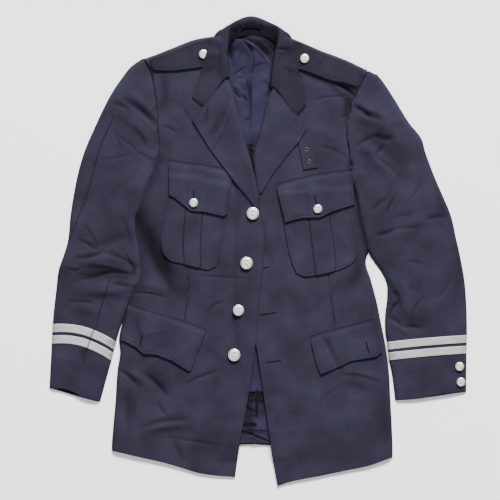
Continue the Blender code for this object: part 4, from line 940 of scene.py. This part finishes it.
class Look:
    """A material in the making, with the kinds of node that the materials share."""

    def __init__(self, name):
        self.material = bpy.data.materials.new(name)
        self.material.use_nodes = True
        self.tree = self.material.node_tree

    def cloth(self):
        """The place on the cloth as it lay when it was cut, in metres."""
        return add_node(self.tree, "ShaderNodeUVMap", {}, uv_map="cloth").outputs["UV"]

    def place(self):
        return add_node(self.tree, "ShaderNodeTexCoord", {}).outputs["Object"]

    # Painted shade on the cloth, and tarnish and wear on the metal
    def seam(self):
        return add_node(self.tree, "ShaderNodeAttribute", {}, attribute_name="seam").outputs["Fac"]

    def noise(self, place, scale, detail):
        values = {"Vector": place, "Scale": scale, "Detail": detail}
        return add_node(self.tree, "ShaderNodeTexNoise", values).outputs["Fac"]

    def wave(self, place, scale, distortion, direction, detail_scale=1.0):
        values = {"Vector": place, "Scale": scale, "Distortion": distortion, "Detail Scale": detail_scale}
        return add_node(self.tree, "ShaderNodeTexWave", values, bands_direction=direction).outputs["Fac"]

    def times(self, value, by, plus=0.0):
        values = {0: value, 1: by, 2: plus}
        return add_node(self.tree, "ShaderNodeMath", values, operation="MULTIPLY_ADD").outputs[0]

    def ramp(self, value, low, high, to=(0.0, 1.0)):
        """A value's place between low and high, carried over to another range."""
        values = {"Value": value, "From Min": low, "From Max": high, "To Min": to[0], "To Max": to[1]}
        return add_node(self.tree, "ShaderNodeMapRange", values).outputs[0]

    def blend(self, share, first, second):
        """From one colour to another. Each is sRGB hex or a node's output."""
        a, b = (linear(colour) if isinstance(colour, str) else colour for colour in (first, second))
        values = {"Factor": share, "A": a, "B": b}
        return add_node(self.tree, "ShaderNodeMix", values, data_type="RGBA").outputs["Result"]

    def relief(self, height, strength, distance):
        values = {"Height": height, "Strength": strength, "Distance": distance}
        return add_node(self.tree, "ShaderNodeBump", values).outputs["Normal"]

    def shade(self, **values):
        """The finished material. The shader's inputs are named with low lines for their spaces."""
        inputs = {key.replace("_", " "): value for key, value in values.items()}
        set_inputs(self.tree, self.tree.nodes["Principled BSDF"], inputs)
        return self.material


def wool_serge(name, dark, light, bloom=0.012):
    """Wool serge, a twill woven of fine worsted yarn: matt, with a faint slanting rib and a soft bloom of
    loose fibre that catches the light. Worn cloth is a little paler in patches, with pale specks of lint,
    and shade is painted into its creases, seams and hollows and beside the pieces that lie over it."""
    look = Look(name)
    place = look.place()
    # The real rib repeats at 0.6 mm. It is drawn at 1.7 mm, or it wouldn't show.
    twill = look.wave(look.cloth(), 260.0, 1.2, "DIAGONAL", detail_scale=2.0)
    fleck = look.noise(place, 620.0, 2.0)
    patches = look.times(look.noise(place, 22.0, 5.0), 0.62)
    amount = look.times(twill, 0.10, plus=look.times(fleck, 0.5, plus=patches))
    cells = {"Vector": place, "Scale": 34.0, "Randomness": 1.0}
    lint = add_node(look.tree, "ShaderNodeTexVoronoi", cells).outputs["Distance"]
    speck = look.ramp(lint, 0.016, 0.008, (0.0, 0.3))
    dusty = look.blend(speck, look.blend(look.ramp(amount, 0.38, 0.84), dark, light), "#9a9aa8")
    nap = look.times(fleck, 0.9, plus=twill)
    return look.shade(
        # Shade painted into the creases, seams and hollows, down to near black
        Base_Color=look.blend(look.times(look.seam(), 0.88), dusty, "#06060b"),
        Normal=look.relief(nap, 0.35, 0.0004), Roughness=0.86, IOR=1.45, Specular_IOR_Level=0.08,
        Sheen_Weight=bloom, Sheen_Roughness=0.45, Sheen_Tint=linear("#8d8da6"),
    )


def lining_satin(name, dark, light):
    """Viscose satin: long floating threads give it a smooth, directed gloss, and it creases sharply."""
    look = Look(name)
    base = look.blend(look.ramp(look.noise(look.place(), 45.0, 4.0), 0.3, 0.7), dark, light)
    # Threads of 0.1 mm, drawn at 0.8 mm
    threads = look.wave(look.cloth(), 390.0, 2.0, "X")
    return look.shade(
        # Shade painted into the creases and hollows
        Base_Color=look.blend(look.times(look.seam(), 0.9), base, "#05050a"),
        Normal=look.relief(threads, 0.2, 0.0002), Roughness=0.68, Specular_IOR_Level=0.06,
        Sheen_Weight=0.012, Sheen_Tint=linear("#a8a4d0"),
    )


def metal_braid(name):
    """Flat silver wire woven over cotton: fine bright wires along the braid, bound by a slanting thread and
    worn dark in places near its ends."""
    look = Look(name)
    cloth = look.cloth()
    # Wires along the braid at 1.75 mm and binding across them at 2.2 mm, twice as coarse as they are
    wires = look.wave(cloth, 180.0, 0.5, "Y")
    weave = look.times(look.wave(cloth, 285.0, 0.8, "DIAGONAL"), 0.3, plus=wires)
    amount = look.times(look.noise(cloth, 90.0, 3.0), 0.5, plus=weave)
    base = look.blend(look.ramp(amount, 0.35, 1.15), "#505355", "#b2b6b3")
    return look.shade(Base_Color=look.blend(look.seam(), base, "#1c1c26"),
                      Normal=look.relief(weave, 0.4, 0.0004), Metallic=0.35, Roughness=0.5)


def silver_plate(name, colour="#fbfaf8", dull="#2f2e2b", rough=(0.42, 0.62)):
    """Pressed and silver-plated brass: bright, with fine wear and a little tarnish in its hollows."""
    look = Look(name)
    wear = look.noise(look.place(), 420.0, 4.0)
    tarnish = {0: look.seam(), 1: look.ramp(wear, 0.42, 0.75, (0.0, 0.35))}
    amount = add_node(look.tree, "ShaderNodeMath", tarnish, operation="MAXIMUM").outputs[0]
    return look.shade(Base_Color=look.blend(amount, colour, dull), Normal=look.relief(wear, 0.25, 0.0002),
                      Roughness=look.ramp(wear, 0.3, 0.7, rough), Metallic=1.0)


def twisted_thread(name, dark, light):
    """Polyester thread and silk buttonhole twist: round strands with a slight gloss."""
    look = Look(name)
    strands = look.noise(look.place(), 1400.0, 2.0)
    return look.shade(Base_Color=look.blend(strands, dark, light), Normal=look.relief(strands, 0.4, 0.0002),
                      Roughness=0.75, Specular_IOR_Level=0.08)


def pale_board(name):
    """Smooth painted board for the floor, without a pattern of its own but for the faintest mottling."""
    look = Look(name)
    return look.shade(Base_Color=look.blend(look.noise(look.place(), 3.0, 2.0), "#f4f4f5", "#f8f8f8"),
                      Roughness=0.7)


WOOL = wool_serge("wool_serge_navy", "#181621", "#2a2837")
WOOL_PRESSED = wool_serge("wool_serge_navy_lapel", "#191723", "#2b2938")
# A darker copy of the wool with less sheen, for the collar and straps: painted shade over the top of the
# jacket
WOOL_SHADED = wool_serge("wool_serge_navy_shaded", "#16141d", "#25232f", bloom=0.006)
# A far darker copy with no sheen, for the under sleeves: painted shade under the top sleeves
WOOL_IN_SHADE = wool_serge("wool_serge_navy_in_shade", "#0a090e", "#131219", bloom=0.0)
SATIN = lining_satin("lining_satin_violet", "#191726", "#272438")
TAPE = lining_satin("hanger_tape_satin", "#07070b", "#0e0e14")
BRAID_SILVER = metal_braid("silver_wire_braid")
SILVER = silver_plate("silver_plated_brass")
NICKEL = silver_plate("nickel_plated_eyelet", "#8d8d92", "#3c3c41", (0.4, 0.6))
THREAD = twisted_thread("navy_sewing_thread", "#0d0c13", "#191824")
TWIST = twisted_thread("black_buttonhole_twist", "#040406", "#0c0c10")


def column(name, low=-math.inf, high=math.inf):
    """A line down the body from one column of the levels."""
    return [(getattr(row, name), row.y) for row in LEVELS
            if getattr(row, name) is not None and low < row.y < high]


def side_x(side, y):
    """Where the armhole or side of the body is at a height."""
    line = column("side_" + side)
    return np.interp(y, [p[1] for p in line[::-1]], [p[0] for p in line[::-1]])


def make_backs(piles):
    for side in ("right", "left"):
        shoulder = inset(SHOULDER[side][1:], FOLD_INSET, SIGN[side])
        top = [*BACK_NECK[side], *shoulder]
        armhole = column("side_" + side, low=ARMPIT_Y[side] - 1)
        sides = column("side_" + side, high=ARMPIT_Y[side] - 1)
        outer = [top[-1], *inset(armhole, ARMHOLE_INSET, SIGN[side]), *inset(sides, FOLD_INSET, SIGN[side]),
                 BACK_HEM[side][-1]]
        centre = [BACK_NECK[side][0], BACK_HEM[side][0]]
        grid = patch(top, BACK_HEM[side], centre, outer, *stations_of("back"), sharp=("top", "end"))
        panel = Panel(grid).settle(piles[0], BACK_WALL)
        add_cloth("back_" + side, panel, WOOL, piles)


def make_linings(piles):
    for node, cut, wall, material, slot, creases in (
        ("lining_neck", NECK_LINING, LINING_WALL, SATIN, "lining_satin", NECK_CREASES),
        ("lining_vent", VENT_LINING, LINING_WALL, SATIN, "lining_satin", VENT_CREASES),
        ("hem_facing", HEM_FACING, FACING_WALL, WOOL, "wool_serge", FACING_CREASES),
    ):
        panel = Panel.cut(cut, *stations_of("lining")).crease(creases)
        # Painted shade in the deepest hollows
        for row in HOLLOWS[node]:
            away, _, _ = along(panel.grid, [(row.x0, row.y0), (row.x1, row.y1)])
            panel.seam += row.height * bell(away, row.width)
        if material is SATIN:
            panel.seam *= DARKEN_SATIN
            panel.rumple(9, 0.35, 3, stretch=(1, 2.2)).rumple(26, 0.8, 4)
        panel.settle(piles[0], wall, softness=6)
        add_cloth(node, panel, material, piles)


def make_front(side, piles):
    edge = [*NECK[side], *column("edge_" + side), HEM[side][0]]
    outer = [SHOULDER[side][-1], *column("side_" + side), HEM[side][-1]]
    u = stations(length_of(HEM[side]), FINE, STITCH_ROWS, FOLD_ROWS)
    v = stations(length_of(edge), FINE, FOLD_ROWS, CUT_ROWS)
    grid = patch(SHOULDER[side], HEM[side], edge, outer, u, v)
    panel = Panel(grid)
    down = grid[..., 1]
    panel.loft += 0.8 + 2.2 * np.clip((down + 150) / 400, 0, 1)
    panel.crease(FRONT_FOLDS[side]).crease(FRONT_CREASES[side])
    panel.rumple(55, 0.8, 11 + SIGN[side]).rumple(17, 0.22, 21 + SIGN[side])
    panel.loft *= np.clip(0.15 + panel.depth["start"] / 55, 0, 1)
    # Darts pressed in, with shade painted along them
    for line in DARTS[side]:
        panel.groove(line)
    beside_arm = (down > ARMPIT_Y[side] + 12) & (down < 320)
    panel.loft += 0.5 * panel.gathers("top", "end", 9, 14, 31 + SIGN[side]) * beside_arm
    panel.loft -= 1.1 * bell(panel.depth["end"], 2.5) * beside_arm
    # Painted shade along the armhole, and the painted shadow of the sleeve that lies over the front
    panel.seam += ARMHOLE_SHADE[side] * bell(panel.depth["end"], 1.4) * beside_arm
    over_it = [(row.inner_x, row.inner_y) for row in SLEEVE[side] if row.inner_y > ARM_SHADE_Y[side]]
    panel.seam += ARM_SHADE[side] * bell(along(grid, over_it)[0], ARM_SHADE_WIDTH[side])
    panel.hem(["start", "foot"], pull=0.3)
    below_arm = grid[-1, grid[-1, :, 1] < ARMPIT_Y[side] + 12]
    panel.settle(piles[0], FRONT_WALL, [grid[:, 0], below_arm], slope=0.07, softness=20)
    add_cloth("front_" + side, panel, WOOL, piles)


def make_patch_pocket(side, piles):
    """A patch pocket whose box pleat stands out of it between two pressed edges."""
    outer_top, inner_top, outer_foot, inner_foot = POCKET[side]["pleat"]
    width = length_of(POCKET[side]["top"])
    u = stations(width, SMALL, STITCH_ROWS, STITCH_ROWS)
    v = stations(POCKET_LENGTH, SMALL, CUT_ROWS, STITCH_ROWS)
    panel = Panel.cut(POCKET[side], u, v)
    share, fall = np.meshgrid(u, v, indexing="ij")
    outer = (share - (outer_top + (outer_foot - outer_top) * fall)) * width
    inner = ((inner_top + (inner_foot - inner_top) * fall) - share) * width
    raised = 1 / (1 + np.exp(-np.clip(np.minimum(outer, inner) * 2.2, -30, 30)))
    panel.loft += PLEAT_RISE * raised
    # Painted shade along the pleat's two pressed edges
    for edge in (outer, inner):
        panel.seam += 0.85 * bell(edge + 0.9, 1.0)
    panel.rumple(30, 0.35, 41 + SIGN[side]).hem(SEWN_SIDES)
    panel.settle(piles[0], POCKET_WALL, softness=8)
    add_cloth("breast_pocket_" + side, panel, WOOL, piles, sewn=SEWN_SIDES)


def make_flap(node, cut, piles, creases=()):
    u = stations(length_of(cut["top"]), SMALL, STITCH_ROWS, STITCH_ROWS)
    v = stations(length_of(sides_of(cut)[0]), SMALL, STITCH_ROWS, STITCH_ROWS)
    panel = Panel.cut(cut, u, v, sharp=("foot",)).crease(creases).rumple(24, 0.4, len(node)).hem(SEWN_SIDES)
    top = panel.depth["top"]
    panel.loft -= 2.3 * bell(top, 7) + 0.2 * bell(top - STITCH_INSET, 0.8)
    # Painted shade along the sewn top edge and its stitching
    panel.seam += 0.95 * bell(top, 1.5) + 0.35 * bell(top - STITCH_INSET, 0.8)
    panel.loft += 0.9 * np.exp(-panel.depth["foot"] / 9)
    panel.settle(piles[0], FLAP_WALL, softness=8)
    add_cloth(node, panel, WOOL_PRESSED, piles, sewn=SEWN_SIDES)


def make_badge_tab(piles):
    panel = Panel.cut(BADGE_TAB, *stations_of("badge_tab", CUT_ROWS))
    panel.hem(["start", "end", "foot", "top"], stitched=False)
    for eyelet in EYELETS.values():
        panel.loft -= 0.5 * bell(np.linalg.norm(panel.grid - eyelet, axis=-1), 4.5)
    panel.settle(piles[0], TAB_WALL, softness=6)
    add_cloth("badge_tab", panel, WOOL, piles)


def make_strap(side, piles):
    node, sewn = "strap_" + side, ("start", "top", "foot")
    u = stations(length_of(STRAP[side]["top"]), SMALL, STITCH_ROWS, CUT_ROWS)
    v = stations(STRAP_WIDTH, SMALL, STITCH_ROWS, STITCH_ROWS)
    panel = Panel.cut(STRAP[side], u, v).crease(STRAP_CREASES[side])
    panel.rumple(22, 0.4, 51 + SIGN[side]).hem(sewn)
    panel.loft -= 0.8 * bell(panel.depth["end"], 2.5)
    panel.settle(piles[0], STRAP_WALL, softness=8)
    add_cloth(node, panel, WOOL_SHADED, piles, sewn=sewn)
    for x, y in PIN_HOLES[side]:
        z = float(piles[0].at(np.array([[(x, y)]], dtype=float))[0, 0])
        # Painted shade in the pin hole
        trim(node + "_cloth", shade_disc("pin_hole_" + side, x, y, z + 0.12, PIN_HOLE))
    lay_on(piles, make_button(STRAP_BUTTON[side], piles[0]))


def make_lapel(side, ground, piles):
    """A lapel turned back along its roll line."""
    cut = LAPEL[side]
    foot = [cut["roll"][-1], cut["edge"][-1]]
    u = stations(LAPEL_WIDTH, SMALL, ROLL_ROWS, CUT_ROWS)
    v = stations(length_of(cut["roll"]), SMALL, CUT_ROWS, (0,))
    gorge = cut["gorge"]
    tucked = [np.array(point) + GORGE_TUCK[side] * share for point, share in zip(gorge, (1, 1, 0))]
    grid = patch(tucked, foot, [tucked[0], *cut["roll"][1:]], cut["edge"], u, v, sharp=("top", "foot"))
    panel = Panel(grid).crease(LAPEL_CREASES[side]).rumple(40, 0.5, 61 + SIGN[side])
    panel.loft *= np.clip(panel.depth["end"] / 12, 0, 1) * np.clip(panel.depth["start"] / 9, 0, 1)
    panel.hem(["end"], stitched=False)
    panel.loft -= 0.3 * bell(panel.depth["top"], 2.0)
    # Painted shade along the gorge
    panel.seam += 0.3 * bell(panel.depth["top"], 1.5)
    panel.settle(ground, LAPEL_WALL, [grid[0]], ROLL_RADIUS)
    add_cloth("lapel_" + side, panel, WOOL_PRESSED, piles)


def unit(vectors):
    return vectors / np.linalg.norm(vectors, axis=-1)[..., None]


def collar_places():
    return np.arange(COLLAR_STEPS * (len(COLLAR) - 1) + 1) / COLLAR_STEPS


def from_tip():
    """How many ribs each section of the collar is from the nearer tip."""
    return np.minimum(collar_places(), len(COLLAR) - 1 - collar_places())


def between_ribs(values):
    """A value of the ribs, carried smoothly along the collar."""
    fine = collar_places()
    i = np.clip(np.floor(fine).astype(int), 0, len(COLLAR) - 2)
    return smooth_between(values, np.gradient(values, axis=0), i, (fine - i)[:, None])


def collar_middle(ground):
    """The middle surface of the collar: each section runs from the fall's edge over the roll to the foot."""
    edge, roll, foot = (
        between_ribs(np.array([[getattr(rib, f"{part}_{axis}") for axis in "xyz"] for rib in COLLAR], float))
        for part in ("edge", "roll", "foot")
    )
    nose = between_ribs(np.array([[rib.nose] for rib in COLLAR], float))
    to_edge, to_foot = unit(edge - roll), unit(foot - roll)
    half = np.arccos(np.clip((to_edge * to_foot).sum(-1), -1, 1))[:, None] / 2
    spread_out = unit(to_edge - to_foot) * nose * 0.56 * np.cos(half)
    outside = roll + to_edge * nose + spread_out
    inside = roll + to_foot * nose - spread_out
    notch = np.array([np.subtract(COLLAR_NOTCH[side], (edge[k] + (outside[k] - edge[k]) * 0.35)[:2])
                      for side, k in (("right", 0), ("left", -1))])
    near = np.clip(1 - from_tip() * 1.2, 0, 1)[:, None] ** 2
    side = np.where(collar_places() < len(COLLAR) / 2, 0, 1)
    pull = np.concatenate([notch[side] * near, np.zeros((len(side), 1))], axis=1)
    rows = [edge, edge + (outside - edge) * 0.35 + pull, edge + (outside - edge) * 0.7 + pull * 0.45, outside,
            roll, inside, (inside + foot) / 2, foot]
    middle = np.stack(rows, axis=1)
    over = from_tip() < FALL_OVER
    resting = ground.eased(middle) + GAP + COLLAR_WALL / 2
    falls = np.arange(8) < 4
    settled = np.maximum(resting, middle[..., 2] * (np.arange(8) == 3))
    middle[..., 2] = np.where(over[:, None] & falls, settled, middle[..., 2])
    return middle, over


def make_collar(ground, piles):
    middle, over = collar_middle(ground)
    fall = (0, 0.15, 0.5, 1.2, 2.4)
    reach = length_of(middle[0])
    shares = stations(reach, 1.9, fall, (0, 0.5, 1.5))
    fine = np.array([curve_at(section, shares) for section in middle])
    count = len(shares)
    flat = Panel(fine[..., :2])
    flat.crease(COLLAR_CREASES).rumple(26, 0.45, 71)
    turn_at = np.array([reached(section)[3] / reached(section)[-1] for section in middle])[:, None]
    on_fall = over[:, None] & (shares[None, :] < turn_at - 0.02)
    resting = ground.eased(fine) + GAP + COLLAR_WALL / 2
    fine[..., 2] = np.where(on_fall, np.maximum(fine[..., 2], resting), fine[..., 2])
    fade = np.clip((fine[..., 2] - 2) / 6, 0, 1)
    fine[..., 2] += flat.loft * fade
    normal = unit(np.cross(np.gradient(fine, axis=1), np.gradient(fine, axis=0)))
    normal *= np.sign(normal[on_fall][:, 2].sum())
    measured = depths(fine)
    rim = np.min([measured["top"], measured["start"], measured["end"]], axis=0)
    half = COLLAR_WALL / 2 * np.sqrt(1 - np.clip(1 - rim / 1.4, 0, 0.97) ** 2)[..., None]
    flat.upper, flat.lower = fine + normal * half, fine - normal * half
    for layer in (flat.upper, flat.lower):
        layer[..., 2] = np.maximum(layer[..., 2], 0.05)
    lowest = np.where(on_fall, ground.at(flat.lower) + 0.05, flat.lower[..., 2])
    flat.lower[..., 2] = np.minimum(np.maximum(flat.lower[..., 2], lowest), flat.upper[..., 2] - 0.2)
    # Painted shade inside the stand, under the roll, and along the edges
    inner = np.clip((np.arange(count)[None, :] / count - turn_at - 0.12) * 9, 0, 1)
    flat.seam = np.clip(flat.seam + 0.85 * inner + 0.5 * np.exp(-rim / 0.8), 0, 1)
    add_cloth("collar", flat, WOOL_SHADED, piles)


def sleeve_head(side, out):
    """The armhole from the armpit up to the shoulder, moved out by a gap."""
    rows = column("side_" + side, low=HEAD_Y[side])
    return inset(rows, -out, SIGN[side])[::-1]


def make_sleeve(side, piles):
    rows = SLEEVE[side]
    inner, outer = [(r.inner_x, r.inner_y) for r in rows], [(r.outer_x, r.outer_y) for r in rows]
    make_under_sleeve(side, inner, outer, piles)
    head = [inner[0], *sleeve_head(side, ARMHOLE_GAP), outer[0]]
    length = (length_of(inner) + length_of(outer)) / 2
    u = stations(SLEEVE_WIDTH, SLEEVE_SPACING, FOLD_ROWS, FOLD_ROWS)
    v = stations(length, FINE, (0, 0.5, 1.5, 3, 5), CUT_ROWS)
    grid = patch(head, CUFF[side], inner, outer, u, v)
    panel = Panel(grid)
    across, fall = np.sin(math.pi * u)[:, None], v[None, :]
    panel.crease(SLEEVE_FOLDS[side]).crease(SLEEVE_CREASES[side])
    panel.rumple(38, 0.9, 81 + SIGN[side]).rumple(14, 0.25, 91 + SIGN[side])
    panel.loft *= across**0.4
    panel.loft += 3.2 * across * (0.35 + 0.65 * (1 - fall))
    for line in SLEEVE_SEAMS[side]:
        # Each seam pressed in with painted shade, and the strip beyond it sloping away with more painted
        # shade
        panel.groove(line, width=1.2, deep=0.9, dark=0.8)
        away, beyond, share_of = along(grid, line)
        slope = np.clip(-SIGN[side] * beyond * away / 30, 0, 1) * np.sin(math.pi * share_of) ** 0.5
        panel.loft -= 3.0 * slope
        panel.seam += 0.16 * slope**0.5
    panel.loft += 0.8 * panel.gathers("start", "top", 8, 16, 101 + SIGN[side])
    panel.loft -= 1.3 * bell(panel.depth["top"], 2.5)
    # Painted shade along the armhole
    panel.seam += ARMHOLE_SHADE[side] * bell(panel.depth["top"], 1.6)
    panel.hem(["foot"], stitched=False)
    panel.settle(piles[0].without_armholes(), TOP_SLEEVE_WALL, [grid[0], grid[-1]])
    add_cloth("top_sleeve_" + side, panel, WOOL, piles)
    make_braids(side, panel, u, v, (inner, outer), piles)


def make_under_sleeve(side, inner, outer, piles):
    """The lower half of a sleeve, flat on the surface beside the body."""
    sign = SIGN[side]
    beside = [(-sign * max(-sign * (x - sign * FOLD_INSET), -sign * side_x(side, y) + BESIDE_BODY), y)
              if y > BESIDE_BODY_Y else (x - sign * FOLD_INSET, y) for x, y in inner]
    below = inset(outer, FOLD_INSET, sign)
    head = [beside[0], *sleeve_head(side, UNDER_ARM_GAP)[1:-1], tuple(below[0])]
    grid = patch(head, UNDER_CUFF[side], beside, below, *stations_of("under_sleeve"), sharp=("top", "start"))
    panel = Panel(grid)
    panel.lower = np.dstack([grid, np.zeros(grid.shape[:2])])
    panel.upper = np.dstack([grid, np.full(grid.shape[:2], UNDER_SLEEVE_WALL)])
    # In the far darker copy of the wool: painted shade under the top sleeve
    add_cloth("under_sleeve_" + side, panel, WOOL_IN_SHADE, piles)


def make_braids(side, sleeve, u, v, edges, piles):
    """Braid strips that follow the sleeve's own surface and end just inside its folded edges."""
    normal = normals_of(sleeve.upper)
    braid = BRAID[side]
    level = (braid.inner_y * (1 - u) * (1 - 2 * u) + braid.middle_y * 4 * u * (1 - u)
             + braid.outer_y * u * (2 * u - 1))
    half = len(v) // 2
    start = np.array([np.interp(-y, -line[half:, 1], v[half:]) for y, line in zip(level, sleeve.grid)])
    length = length_of(edges[0]) * (1 - u) + length_of(edges[1]) * u
    across = np.concatenate([[0, 0.2, 0.6], np.arange(1.2, braid.width - 1, 0.85),
                             braid.width - np.array([0.6, 0.2, 0])])
    inside = slice(2, -2)
    for node, first in (("upper", 0.0), ("lower", braid.width + braid.gap)):
        at = start[:, None] + (first + across) / length[:, None]
        ground, out = (np.stack([[np.interp(at[i], v, layer[i, :, k]) for i in range(len(u))]
                                 for k in range(3)], -1)[inside] for layer in (sleeve.upper, normal))
        edge = np.minimum(across, braid.width - across)
        thick = BRAID_WALL * np.sqrt(1 - np.clip(1 - edge / 0.7, 0, 0.97) ** 2)
        panel = Panel(ground[..., :2])
        panel.upper = ground + out * (0.2 + thick)[None, :, None]
        panel.lower = ground + out * 0.1
        near_end = np.clip(1 - np.minimum(panel.depth["start"], panel.depth["end"]) / 24, 0, 1)
        for place, dark in ((0.22, 0.75), (0.5, 0.9), (0.78, 0.6)):
            panel.seam += dark * near_end * bell(across - place * braid.width, 0.6)
        for line in SLEEVE_SEAMS[side]:
            panel.seam += bell(along(panel.grid, line)[0], 1.3)
        add_cloth(f"braid_{node}_{side}", panel, BRAID_SILVER, piles)


def turned(node, profile, x, y, z, sides, material, seam=None, petals=0):
    """A body spun from a profile of radii and heights, with its hollows marked for tarnish."""
    form = bmesh.new()
    mark = form.verts.layers.float.new("seam")
    ring = [form.verts.new((radius * MM, 0, height * MM)) for radius, height in profile]
    for vert, value in zip(ring, seam or [0] * len(ring)):
        vert[mark] = value
    edges = [form.edges.new(pair) for pair in zip(ring, ring[1:])]
    if profile[0][0] > 0:
        edges.append(form.edges.new((ring[-1], ring[0])))
    bmesh.ops.spin(form, geom=ring + edges, cent=(0, 0, 0), axis=(0, 0, 1), angle=math.tau, steps=sides,
                   use_merge=True)
    bmesh.ops.remove_doubles(form, verts=form.verts, dist=0.000005)
    bmesh.ops.recalc_face_normals(form, faces=form.faces)
    reach = max(radius for radius, _ in profile) * MM
    for vert in form.verts if petals else []:
        if 0.1 < vert.co.xy.length / reach < PETAL_REACH and vert[mark] > 0:
            vert[mark] *= 0.5 - 0.5 * math.cos(petals * math.atan2(vert.co.y, vert.co.x))
            vert.co.z -= 0.035 * reach * vert[mark]
    bmesh.ops.translate(form, verts=form.verts, vec=[c * MM for c in (x - ORIGIN[0], y - ORIGIN[1], z)])
    name = node + "_turned"
    mesh = bpy.data.meshes.new(name)
    form.to_mesh(mesh)
    form.free()
    mesh.shade_smooth()
    mesh.set_sharp_from_angle(angle=math.radians(40))
    mesh.materials.append(material)
    return add_object(name, mesh, node)


def disc_points(x, y, radius):
    return np.array([[(x + radius * share * math.cos(a), y + radius * share * math.sin(a))
                      for a in np.linspace(0, math.tau, 16)] for share in (0.05, 0.5, 1)])


def make_button(button, pile):
    """A domed shank button: a rolled rim, a hollow and a plain rosette. Gives its crown's points."""
    r = button.radius
    base = pile.at(disc_points(button.x, button.y, r * 0.3)).max() + GAP
    edge = pile.at(disc_points(button.x, button.y, r)).max() + GAP
    neck = max(0.2 * r, edge - base)
    profile = [(turn.radius * r, turn.height * r + (neck if turn.height > 0 else 0)) for turn in BUTTON_TURNS]
    tarnish = [turn.tarnish for turn in BUTTON_TURNS]
    turned(button.name, profile, button.x, button.y, base, BUTTON_SIDES, SILVER, tarnish, PETALS)
    rounds = disc_points(button.x, button.y, r)
    height = base + profile[-1][1] - np.array([0, 0.08, 0.2])[:, None] * r
    return np.dstack([rounds, np.broadcast_to(height, rounds.shape[:2])])


def make_eyelets(pile):
    for name, (x, y) in EYELETS.items():
        z = pile.at(disc_points(x, y, 2.6)).min()
        turned("badge_eyelet_" + name, EYELET_TURNS, x, y, z + 0.2, EYELET_SIDES, NICKEL)
        # Painted shade in the eyelet's hole
        trim("badge_tab_cloth", shade_disc("badge_hole_" + name, x, y, z + 0.25, EYELET_HOLE))


def shade_disc(name, x, y, z, radius):
    """A disc of painted shade, in the black twist, at the bottom of an eyelet or a pin hole."""
    turns = np.linspace(0, math.tau, DISC_SIDES, endpoint=False)
    rim = np.stack([x + radius * np.cos(turns), y + radius * np.sin(turns), np.full(DISC_SIDES, z)], -1)
    mesh = bpy.data.meshes.new(name)
    mesh.from_pydata((rim - ORIGIN) * MM, [], [tuple(range(DISC_SIDES))])
    mesh.materials.append(TWIST)
    return add_object(name, mesh)


def make_buttonholes(pile):
    """Buttonholes worked in twist: two close rows of purl stitches round a slit, with an eye at one end."""
    for hole in BUTTONHOLES:
        start, end = np.array([hole.x0, hole.y0]), np.array([hole.x1, hole.y1])
        run = (end - start) / np.linalg.norm(end - start)
        side = np.array([-run[1], run[0]])
        long = np.linalg.norm(end - start)
        at = np.linspace(0, long, max(4, int(long / 0.5)))
        round_eye = np.linspace(-2.2, 2.2, 11)
        lines = []
        for way in (-1, 1):
            lines += [[start + run * s + side * way * 0.1, start + run * s + side * way * 1.15] for s in at]
        lines += [[start + (run * -math.cos(a) + side * math.sin(a)) * near
                   for near in (0.3, 1.9)] for a in round_eye]
        lines = [np.column_stack([line, pile.at(np.array(line)[None])[0] + 0.12]) for line in lines]
        trim(hole.host, add_stitches(hole.name, lines, TWIST, pitch=0.95, long=1.05))


def make_hanger_loop(piles):
    """A flat loop of tape across the stand at the back of the neck."""
    panel = Panel.cut(HANGER_LOOP, *stations_of("hanger_loop"))
    panel.hem(["top", "foot"], radius=0.5, stitched=False)
    # Painted shade towards the foot of the loop
    panel.seam += 0.5 * bell(panel.depth["foot"], 3.5)
    panel.settle(piles[0], LOOP_WALL, softness=8)
    add_cloth("hanger_loop", panel, TAPE, piles)


def sew():
    everything, body = Pile(), Pile()
    piles = (everything, body)
    middle, _ = collar_middle(everything)
    fall = middle[from_tip() > FALL_UNDER][:, :4]
    fall[..., 2] += COLLAR_WALL / 2
    lay_on(piles, fall)
    make_backs(piles)
    make_linings(piles)
    for side in ("left", "right"):
        make_front(side, piles)
        make_patch_pocket(side, piles)
        make_flap("breast_flap_" + side, BREAST_FLAP[side], piles)
        make_flap("hip_flap_" + side, HIP_FLAP[side], piles, FLAP_CREASES[side])
        make_strap(side, piles)
        if side == "left":
            make_badge_tab(piles)
        make_lapel(side, everything.copy(), (everything,))
    make_collar(body, (everything,))
    make_hanger_loop((everything,))
    for side in ("right", "left"):
        make_sleeve(side, (everything,))
    make_buttonholes(everything)
    make_eyelets(everything)
    for button in BUTTONS:
        make_button(button, everything)


def make_studio():
    floor = bpy.data.meshes.new("floor")
    corners = ((-1, -1), (1, -1), (1, 1), (-1, 1))
    floor.from_pydata([(x * FLOOR_HALF, y * FLOOR_HALF, FLOOR_Z) for x, y in corners], [], [(0, 1, 2, 3)])
    floor.materials.append(pale_board("pale_floor_board"))
    board = bpy.data.objects.new("floor", floor)
    bpy.context.scene.collection.objects.link(board)
    for name, place, size, power, colour in LIGHTS:
        lamp = bpy.data.lights.new(name, "AREA")
        lamp.shape = "RECTANGLE"
        lamp.size, lamp.size_y = size
        lamp.energy = power
        lamp.color = linear(colour)[:3]
        light = bpy.data.objects.new(name, lamp)
        light.location = place
        light.rotation_euler = (-Vector(place)).to_track_quat("-Z", "Y").to_euler()
        bpy.context.scene.collection.objects.link(light)
    world = bpy.data.worlds.new("studio")
    world.use_nodes = True
    world.node_tree.nodes["Background"].inputs["Color"].default_value = linear("#ffffff")
    world.node_tree.nodes["Background"].inputs["Strength"].default_value = WORLD_STRENGTH
    bpy.context.scene.world = world


def make_camera():
    """Straight above the jacket, with a long lens. The place and the width of the view are in metres."""
    lens, sensor, view_width, x, y = 200.0, 36.0, 0.872, -0.0148, 0.00185
    camera = bpy.data.cameras.new("camera")
    camera.lens, camera.sensor_width = lens, sensor
    camera.clip_end = 20.0
    eye = bpy.data.objects.new("camera", camera)
    eye.location = (x, y, view_width * lens / sensor)
    bpy.context.scene.collection.objects.link(eye)
    bpy.context.scene.camera = eye


sew()
make_studio()
make_camera()
